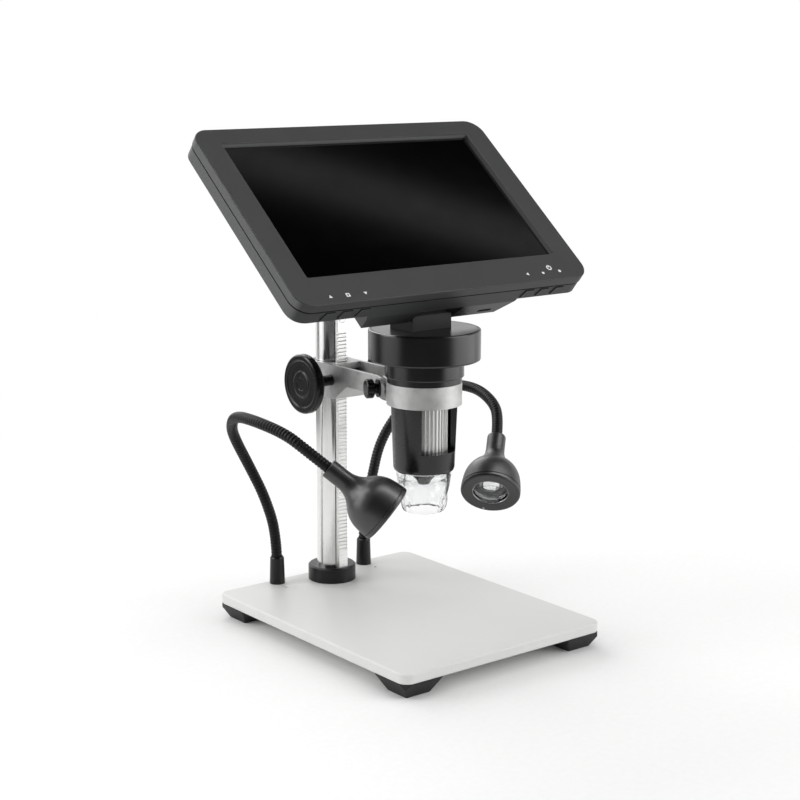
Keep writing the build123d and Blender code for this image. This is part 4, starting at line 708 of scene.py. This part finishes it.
# ---- camera tube ------------------------------------------------------------
class MICROSCOPE_OT_focus_wheel(bpy.types.Operator):
    """Fine focus wheel with rounded ribs"""
    bl_idname = "microscope.focus_wheel"
    bl_label = "Focus Wheel"

    def execute(self, context):
        low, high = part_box("focus_wheel")
        radius, ribs, rib = sizes().wheel_radius, 36, 0.0006
        bm = bmesh.new()
        bmesh.ops.create_cone(bm, cap_ends=True, segments=2 * ribs, radius1=radius - rib,
                              radius2=radius - rib, depth=high.z - low.z)
        around = [f for f in bm.faces if abs(f.normal.z) < 0.5]
        around.sort(key=lambda f: f.calc_center_median().to_2d().angle_signed(Vector((1, 0))))
        made = bmesh.ops.extrude_discrete_faces(bm, faces=around[::2])["faces"]
        for face in made:
            bmesh.ops.translate(bm, verts=face.verts, vec=face.normal * rib)
        crests = [e for e in bm.edges if e.is_manifold and e.calc_length() > 0.01
                  and all(v.co.to_2d().length > radius - 0.0003 for v in e.verts)]
        rounded(bm, crests, 0.00042, 4)
        place = Matrix.Translation((0, SCOPE_Y, (low.z + high.z) / 2))
        piece(bm, "ribbed_wheel", "focus", "wheel_silver", place, sharp=50.0, replaces=["focus_wheel"])
        return {"FINISHED"}


class MICROSCOPE_OT_hood(bpy.types.Operator):
    """Clear hood with a waved skirt and a rounded lip"""
    bl_idname = "microscope.hood"
    bl_label = "Clear Hood"

    def execute(self, context):
        low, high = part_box("clear_hood")
        z, top = low.z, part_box("tube_shell")[0].z
        skirt, waves, swell = 0.0045, 9, 0.05
        outer = curve_points([(0.0094, z + 0.0001), (0.0106, z + 0.0004), (0.0113, z + 0.0017),
                              (0.0117, z + 0.0040), (0.0124, z + 0.0085), (0.0133, z + 0.0125),
                              (0.0139, z + 0.0160), (0.01425, z + 0.0190)], 4)
        outer += [(0.0143, top - 0.0002), (0.0134, top), (0.0134, high.z)]
        inner = curve_points([(0.0121, high.z), (0.0121, top - 0.0030), (0.0119, z + 0.0140),
                              (0.0111, z + 0.0090), (0.0104, z + 0.0045), (0.0099, z + 0.0020),
                              (0.0091, z + 0.0004)], 4)
        bm = spun(outer + inner + [outer[0]], 96)
        for v in bm.verts:
            share = max(0.0, 1.0 - abs(v.co.z - z - skirt) / skirt)
            angle = Vector((1, 0)).angle_signed(v.co.to_2d(), 0.0)
            wave = 1.0 + swell * share * cos(waves * angle)
            v.co.x *= wave
            v.co.y *= wave
        piece(bm, "waved_hood", "scope", "hood_clear", Matrix.Translation((0, SCOPE_Y, 0)), sharp=50.0,
              replaces=["clear_hood"])
        return {"FINISHED"}


# ---- head disc --------------------------------------------------------------
class MICROSCOPE_OT_disc(bpy.types.Operator):
    """Head disc turned in one piece with its neck and lid"""
    bl_idname = "microscope.disc"
    bl_label = "Head Disc"

    def execute(self, context):
        low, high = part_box("disc_housing")
        z, top = low.z, high.z
        shoulder = z + 0.0086
        cup = [(0.0, z), (0.0199, z), (0.0202, z + 0.0001), (0.0204, z + 0.0005), (0.0204, shoulder - 0.0003),
               (0.0207, shoulder), (0.0279, shoulder), (0.0285, shoulder + 0.0003), (0.0288, shoulder + 0.0009),
               (0.0288, top - 0.0008), (0.0286, top - 0.0002), (0.0281, top), (0.0276, top),
               (0.0275, top - 0.0003), (0.0273, top - 0.0003), (0.0272, top), (0.0, top)]
        piece(spun(cup, 128), "turned_disc", "scope", "disc_black", Matrix.Translation((0, SCOPE_Y, 0)),
              sharp=35.0, replaces=["disc_housing", "disc_lid"])
        return {"FINISHED"}


# ---- screen -----------------------------------------------------------------
class MICROSCOPE_OT_bezel(bpy.types.Operator):
    """Front frame of the screen with its rounded rim and sloped opening, a near-black band of painted shade in the
    parting groove behind it, and the cover glass
    """
    bl_idname = "microscope.bezel"
    bl_label = "Screen Frame"

    def execute(self, context):
        s = sizes()
        half_w, half_h, corner = s.screen_width / 2, s.screen_height / 2, s.screen_corner
        thick, step, rear_thick = 0.0048, 0.0030, 0.0009
        bm = bmesh.new()
        back = rounded_sheet(bm, half_w, half_h, corner, 14, -thick)
        pushed(bm, [back], (0, 0, thick))
        bmesh.ops.recalc_face_normals(bm, faces=bm.faces)
        softened(bm, 0.0004, 2, 60.0, lambda e: all(v.co.z > -0.001 for v in e.verts))
        rear = [max((f for f in bm.faces if f.normal.z < -0.9), key=lambda f: f.calc_area())]
        bmesh.ops.inset_region(bm, faces=rear, thickness=step, use_even_offset=True)
        rear = pushed(bm, rear, (0, 0, -rear_thick))
        bmesh.ops.inset_region(bm, faces=rear, thickness=step, use_even_offset=True)
        bmesh.ops.delete(bm, geom=rear, context="FACES_ONLY")
        cut_window(bm, s.glass_width / 2, s.glass_height / 2, s.glass_up)
        piece(bm, "screen_frame", "monitor", "bezel_grey", screen_place(), sharp=15.0, replaces=["front_bezel"])
        gap = 0.0004
        # A dull near-black band fills the parting groove between the frame and the rear shell: painted shade where
        # the groove lies in shadow.
        bm = bmesh.new()
        for z in (-0.0047, -0.0058):
            rounded_sheet(bm, half_w - gap, half_h - gap, corner - gap, 14, z)
        bmesh.ops.bridge_loops(bm, edges=list(bm.edges))
        bmesh.ops.delete(bm, geom=[f for f in bm.faces if len(f.verts) > 4], context="FACES_ONLY")
        piece(bm, "painted_shade_groove", "monitor", "foot_rubber", screen_place(), "gap_black", 30.0)
        glass_thick = 0.0012
        bm = bmesh.new()
        sheet = rounded_sheet(bm, s.glass_width / 2 - gap, s.glass_height / 2 - gap, 0.0015, 6,
                              -s.glass_deep - glass_thick)
        bmesh.ops.translate(bm, verts=bm.verts, vec=(0, s.glass_up, 0))
        pushed(bm, [sheet], (0, 0, glass_thick))
        piece(bm, "cover_glass", "monitor", "screen_glass", screen_place(), sharp=15.0,
              replaces=["screen_glass"])
        return {"FINISHED"}


def cut_window(bm, half_w, half_h, up):
    """Open the frame's face over the glass, with steep walls and soft corners."""
    for spot, way in (((half_w, 0, 0), (1, 0, 0)), ((-half_w, 0, 0), (1, 0, 0)),
                      ((0, up + half_h, 0), (0, 1, 0)), ((0, up - half_h, 0), (0, 1, 0))):
        flat = [f for f in bm.faces if f.normal.z > 0.999 and f.calc_area() > 1e-4]
        parts = set(flat) | {e for f in flat for e in f.edges} | {v for f in flat for v in f.verts}
        bmesh.ops.bisect_plane(bm, geom=list(parts), plane_co=spot, plane_no=way, dist=1e-6)
    middle = min((f for f in bm.faces if f.normal.z > 0.999),
                 key=lambda f: (f.calc_center_median() - Vector((0, up, 0))).length)
    hole = list(middle.edges)
    bmesh.ops.delete(bm, geom=[middle], context="FACES_ONLY")
    for run, drop in ((0.0002, 0.0001), (0.0008, 0.0021)):
        made = bmesh.ops.extrude_edge_only(bm, edges=hole)["geom"]
        ring = [g for g in made if isinstance(g, bmesh.types.BMVert)]
        for v in ring:
            v.co.x -= run if v.co.x > 0 else -run
            v.co.y -= run if v.co.y > up else -run
            v.co.z -= drop
        hole = [g for g in made if isinstance(g, bmesh.types.BMEdge) and all(v in ring for v in g.verts)]
    corners = [e for e in bm.edges if e.is_manifold and abs(e.verts[0].co.z - e.verts[1].co.z) > 0.001
               and abs(abs(e.verts[0].co.x) - half_w) < 0.002 and abs(e.verts[0].co.y - up) < half_h + 0.001]
    rounded(bm, corners, 0.0012, 5)


def mark_shape(bm, kind, x, y, size):
    """One small printed sign: a triangle, a frame, a ring or a dot."""
    spot = Matrix.Translation((x, y, -0.00003))
    if kind in ("up", "down", "right"):
        turn = {"up": -pi / 2, "down": pi / 2, "right": 0.0}[kind]
        bmesh.ops.create_circle(bm, cap_ends=True, segments=3, radius=size,
                                matrix=spot @ Matrix.Rotation(turn + pi / 2, 4, "Z"))
        return
    if kind == "dot":
        bmesh.ops.create_circle(bm, cap_ends=True, segments=20, radius=size, matrix=spot)
        return
    made = bmesh.ops.create_circle(bm, cap_ends=True, segments=4 if kind == "frame" else 24, radius=size,
                                   matrix=spot @ Matrix.Rotation(pi / 4 if kind == "frame" else 0, 4, "Z"))
    face = made["verts"][0].link_faces[0]
    bmesh.ops.inset_region(bm, faces=[face], thickness=size * 0.40, use_boundary=True, use_even_offset=True)
    bmesh.ops.delete(bm, geom=[face], context="FACES_ONLY")
    if kind == "power":
        bmesh.ops.create_grid(bm, x_segments=1, y_segments=1, size=0.5,
                              matrix=spot @ Matrix.Translation((0, size * 0.6, 0)) @ Matrix.Diagonal(
                                  (size * 0.3, size * 1.1, 1, 1)))


class MICROSCOPE_OT_marks(bpy.types.Operator):
    """Small printed signs over the two banks of keys"""
    bl_idname = "microscope.marks"
    bl_label = "Key Signs"

    def execute(self, context):
        bm = bmesh.new()
        for sign in KEY_SIGNS:
            mark_shape(bm, *sign)
        pushed(bm, list(bm.faces), (0, 0, 0.00008))
        piece(bm, "key_signs", "monitor", "bezel_grey", screen_place(), "mark_white")
        return {"FINISHED"}


# ---- stage ------------------------------------------------------------------
FLOOR_RADIUS = 0.66
FLOOR_FADE = (0.20, 0.56)
MIRROR_FADE = (0.42, 0.60)
BEHIND = (0.62, 0.785, -0.1)
ACROSS = (-0.622, -0.783, 0.0)
# Direction, where the glow starts and is full, and strength.
SIDE_GLOWS = [((0.785, -0.62, 0.0), 0.75, 0.96, 2.4), ((-0.919, 0.396, 0.0), 0.87, 0.96, 1.2)]
EYE_PLACE = (-0.555933, -0.698190, 0.308883)
EYE_TURN = (1.368296, -0.00225, -0.668499)
EYE_LENS, EYE_SENSOR = 78.92, 36.0


def floor_material(name):
    """Pale floor that keeps the soft shadow and fades into the white beyond."""
    material, tree, shader = blank(name)
    tree.nodes.remove(shader)
    out = tree.nodes["Material Output"]
    spot = add(tree, "ShaderNodeTexCoord").outputs["Object"]
    away = add(tree, "ShaderNodeVectorMath", {0: spot}, operation="LENGTH").outputs["Value"]
    rays = add(tree, "ShaderNodeLightPath").outputs
    seen = maths(tree, "MAXIMUM", rays["Is Camera Ray"], rays["Is Glossy Ray"])
    seen = maths(tree, "MAXIMUM", seen, rays["Is Transmission Ray"])
    share = maths(tree, "MULTIPLY", seen, between(tree, away, 0.0, 1.0, FLOOR_FADE, "SMOOTHSTEP"))
    paper = noise(tree, spot, 300.0, 2.0)
    tone = blended(tree, between(tree, paper, 0.0, 1.0), (0.90, 0.90, 0.895, 1), (0.92, 0.92, 0.915, 1))
    soft = add(tree, "ShaderNodeBsdfDiffuse", {"Color": tone}).outputs[0]
    edge = between(tree, away, 0.0, 0.96, MIRROR_FADE, "SMOOTHSTEP")
    glow = maths(tree, "SUBTRACT", 1.0, maths(tree, "MULTIPLY", edge, rays["Is Glossy Ray"]))
    white = add(tree, "ShaderNodeEmission", {"Color": (1, 1, 1, 1), "Strength": glow}).outputs[0]
    mix = add(tree, "ShaderNodeMixShader", {0: share, 1: soft, 2: white}).outputs[0]
    tree.links.new(mix, out.inputs["Surface"])
    return material


def reflected_room(tree, way, height):
    """What mirrors see: white behind, glows low at the sides, a band overhead and dark elsewhere."""
    def along(direction):
        return add(tree, "ShaderNodeVectorMath", {0: way, 1: direction}, operation="DOT_PRODUCT").outputs["Value"]

    room = maths(tree, "MULTIPLY", between(tree, along(BEHIND), 0.04, 1.0, (0.30, 0.72), "SMOOTHSTEP"),
                 between(tree, height, 1.0, 0.06, (0.32, 0.75), "SMOOTHSTEP"))
    low = between(tree, height, 1.0, 0.0, (-0.05, 0.20))
    for side, start, end, strength in SIDE_GLOWS:
        glow = between(tree, along(side), 0.0, strength, (start, end), "SMOOTHSTEP")
        room = maths(tree, "ADD", room, maths(tree, "MULTIPLY", glow, low))
    band = between(tree, maths(tree, "ABSOLUTE", along(ACROSS)), 6.0, 0.0, (0.10, 0.20))
    high = between(tree, height, 0.0, 1.0, (0.45, 0.60))
    return maths(tree, "ADD", room, maths(tree, "MULTIPLY", band, high))


def set_world(scene):
    """White to the eye, softer as a light, dim overhead in reflections."""
    world = bpy.data.worlds.new("white_room")
    world.use_nodes = True
    tree = world.node_tree
    out = tree.nodes["World Output"]
    rays = add(tree, "ShaderNodeLightPath").outputs
    way = add(tree, "ShaderNodeTexCoord").outputs["Generated"]
    height = add(tree, "ShaderNodeSeparateXYZ", {0: way}).outputs["Z"]

    def backdrop(strength):
        return add(tree, "ShaderNodeBackground", {"Color": (1, 1, 1, 1), "Strength": strength}).outputs[0]

    mix = backdrop(0.60)
    for ray, strength in (("Is Glossy Ray", reflected_room(tree, way, height)),
                          ("Is Transmission Ray", between(tree, height, 1.0, 0.4, (0.12, 0.5))),
                          ("Is Camera Ray", 1.0)):
        mix = add(tree, "ShaderNodeMixShader", {0: rays[ray], 1: mix, 2: backdrop(strength)}).outputs[0]
    tree.links.new(mix, out.inputs["Surface"])
    scene.world = world


LIGHTS = [
    # name, place, aim, width, height, watts
    ("top_softbox", (-0.10, -0.25, 1.50), (0, 0, 0.12), 1.0, 1.0, 1.6),
    ("left_softbox", (-1.06, 0.57, 0.56), (0, 0, 0.12), 0.75, 0.9, 7.0),
    ("right_softbox", (0.72, -0.96, 0.56), (0, 0, 0.12), 1.0, 0.9, 6.5),
    ("back_softbox", (0.10, 1.15, 0.85), (0, 0, 0.05), 1.2, 0.8, 9.0),
    ("ceiling_strip", (0.917, 0.118, 1.411), (0, 0.0085, 0.226), 0.62, 0.05, 0.06),
]

# Which way the long side of a strip runs.
STRIP_RUNS = {"ceiling_strip": (0.739, -0.404, -0.539)}


def add_light(name, place, aim, width, height, watts):
    data = bpy.data.lights.new(name, "AREA")
    data.shape = "RECTANGLE"
    data.size, data.size_y, data.energy = width, height, watts
    lamp = linked(name, data)
    lamp.location = place
    beam = (Vector(aim) - Vector(place)).normalized()
    along = Vector(STRIP_RUNS[name]) if name in STRIP_RUNS else beam.cross((0, 0, 1))
    along = (along - beam * along.dot(beam)).normalized()
    lamp.rotation_euler = Matrix((along, beam.cross(along) * -1, -beam)).transposed().to_euler()


class MICROSCOPE_OT_stage(bpy.types.Operator):
    """Floor, soft lights, white surroundings and camera"""
    bl_idname = "microscope.stage"
    bl_label = "Stage"

    def execute(self, context):
        scene = context.scene
        bm = bmesh.new()
        bmesh.ops.create_circle(bm, cap_ends=True, segments=96, radius=FLOOR_RADIUS)
        FINISHES["floor_paper"] = floor_material("floor_paper")
        floor = piece(bm, "floor", finish="floor_paper")
        set_world(scene)
        for row in LIGHTS:
            add_light(*row)
        data = bpy.data.cameras.new("camera")
        data.lens, data.sensor_width = EYE_LENS, EYE_SENSOR
        data.clip_start, data.clip_end = 0.05, 60.0
        eye = linked("camera", data)
        eye.location = EYE_PLACE
        eye.rotation_euler = EYE_TURN
        scene.camera = eye
        scene.view_settings.view_transform = "Standard"
        return {"FINISHED"}


# ---- panel and registration -------------------------------------------------
OPERATORS = [
    MICROSCOPE_OT_finishes, MICROSCOPE_OT_base, MICROSCOPE_OT_knobs, MICROSCOPE_OT_lamps,
    MICROSCOPE_OT_necks, MICROSCOPE_OT_focus_wheel, MICROSCOPE_OT_hood, MICROSCOPE_OT_disc,
    MICROSCOPE_OT_bezel, MICROSCOPE_OT_marks, MICROSCOPE_OT_stage,
]


class MICROSCOPE_PT_pieces(bpy.types.Panel):
    """Pieces of the bench microscope"""
    bl_idname = "MICROSCOPE_PT_pieces"
    bl_label = "Bench Microscope"
    bl_space_type = "VIEW_3D"
    bl_region_type = "UI"
    bl_category = "Microscope"

    def draw(self, context):
        for kind in OPERATORS:
            self.layout.operator(kind.bl_idname)
        for group in (context.scene.microscope_sizes, context.scene.microscope_colours):
            box = self.layout.box()
            for key in group.__annotations__:
                box.prop(group, key)


CLASSES = [MicroscopeSizes, MicroscopeColours, *OPERATORS, MICROSCOPE_PT_pieces]


def register():
    for kind in CLASSES:
        bpy.utils.register_class(kind)
    bpy.types.Scene.microscope_sizes = bpy.props.PointerProperty(type=MicroscopeSizes)
    bpy.types.Scene.microscope_colours = bpy.props.PointerProperty(type=MicroscopeColours)


def unregister():
    del bpy.types.Scene.microscope_sizes
    del bpy.types.Scene.microscope_colours
    for kind in reversed(CLASSES):
        bpy.utils.unregister_class(kind)


def main():
    register()
    for kind in OPERATORS:
        group, name = kind.bl_idname.split(".")
        getattr(getattr(bpy.ops, group), name)()


if __name__ == "__main__":
    main()
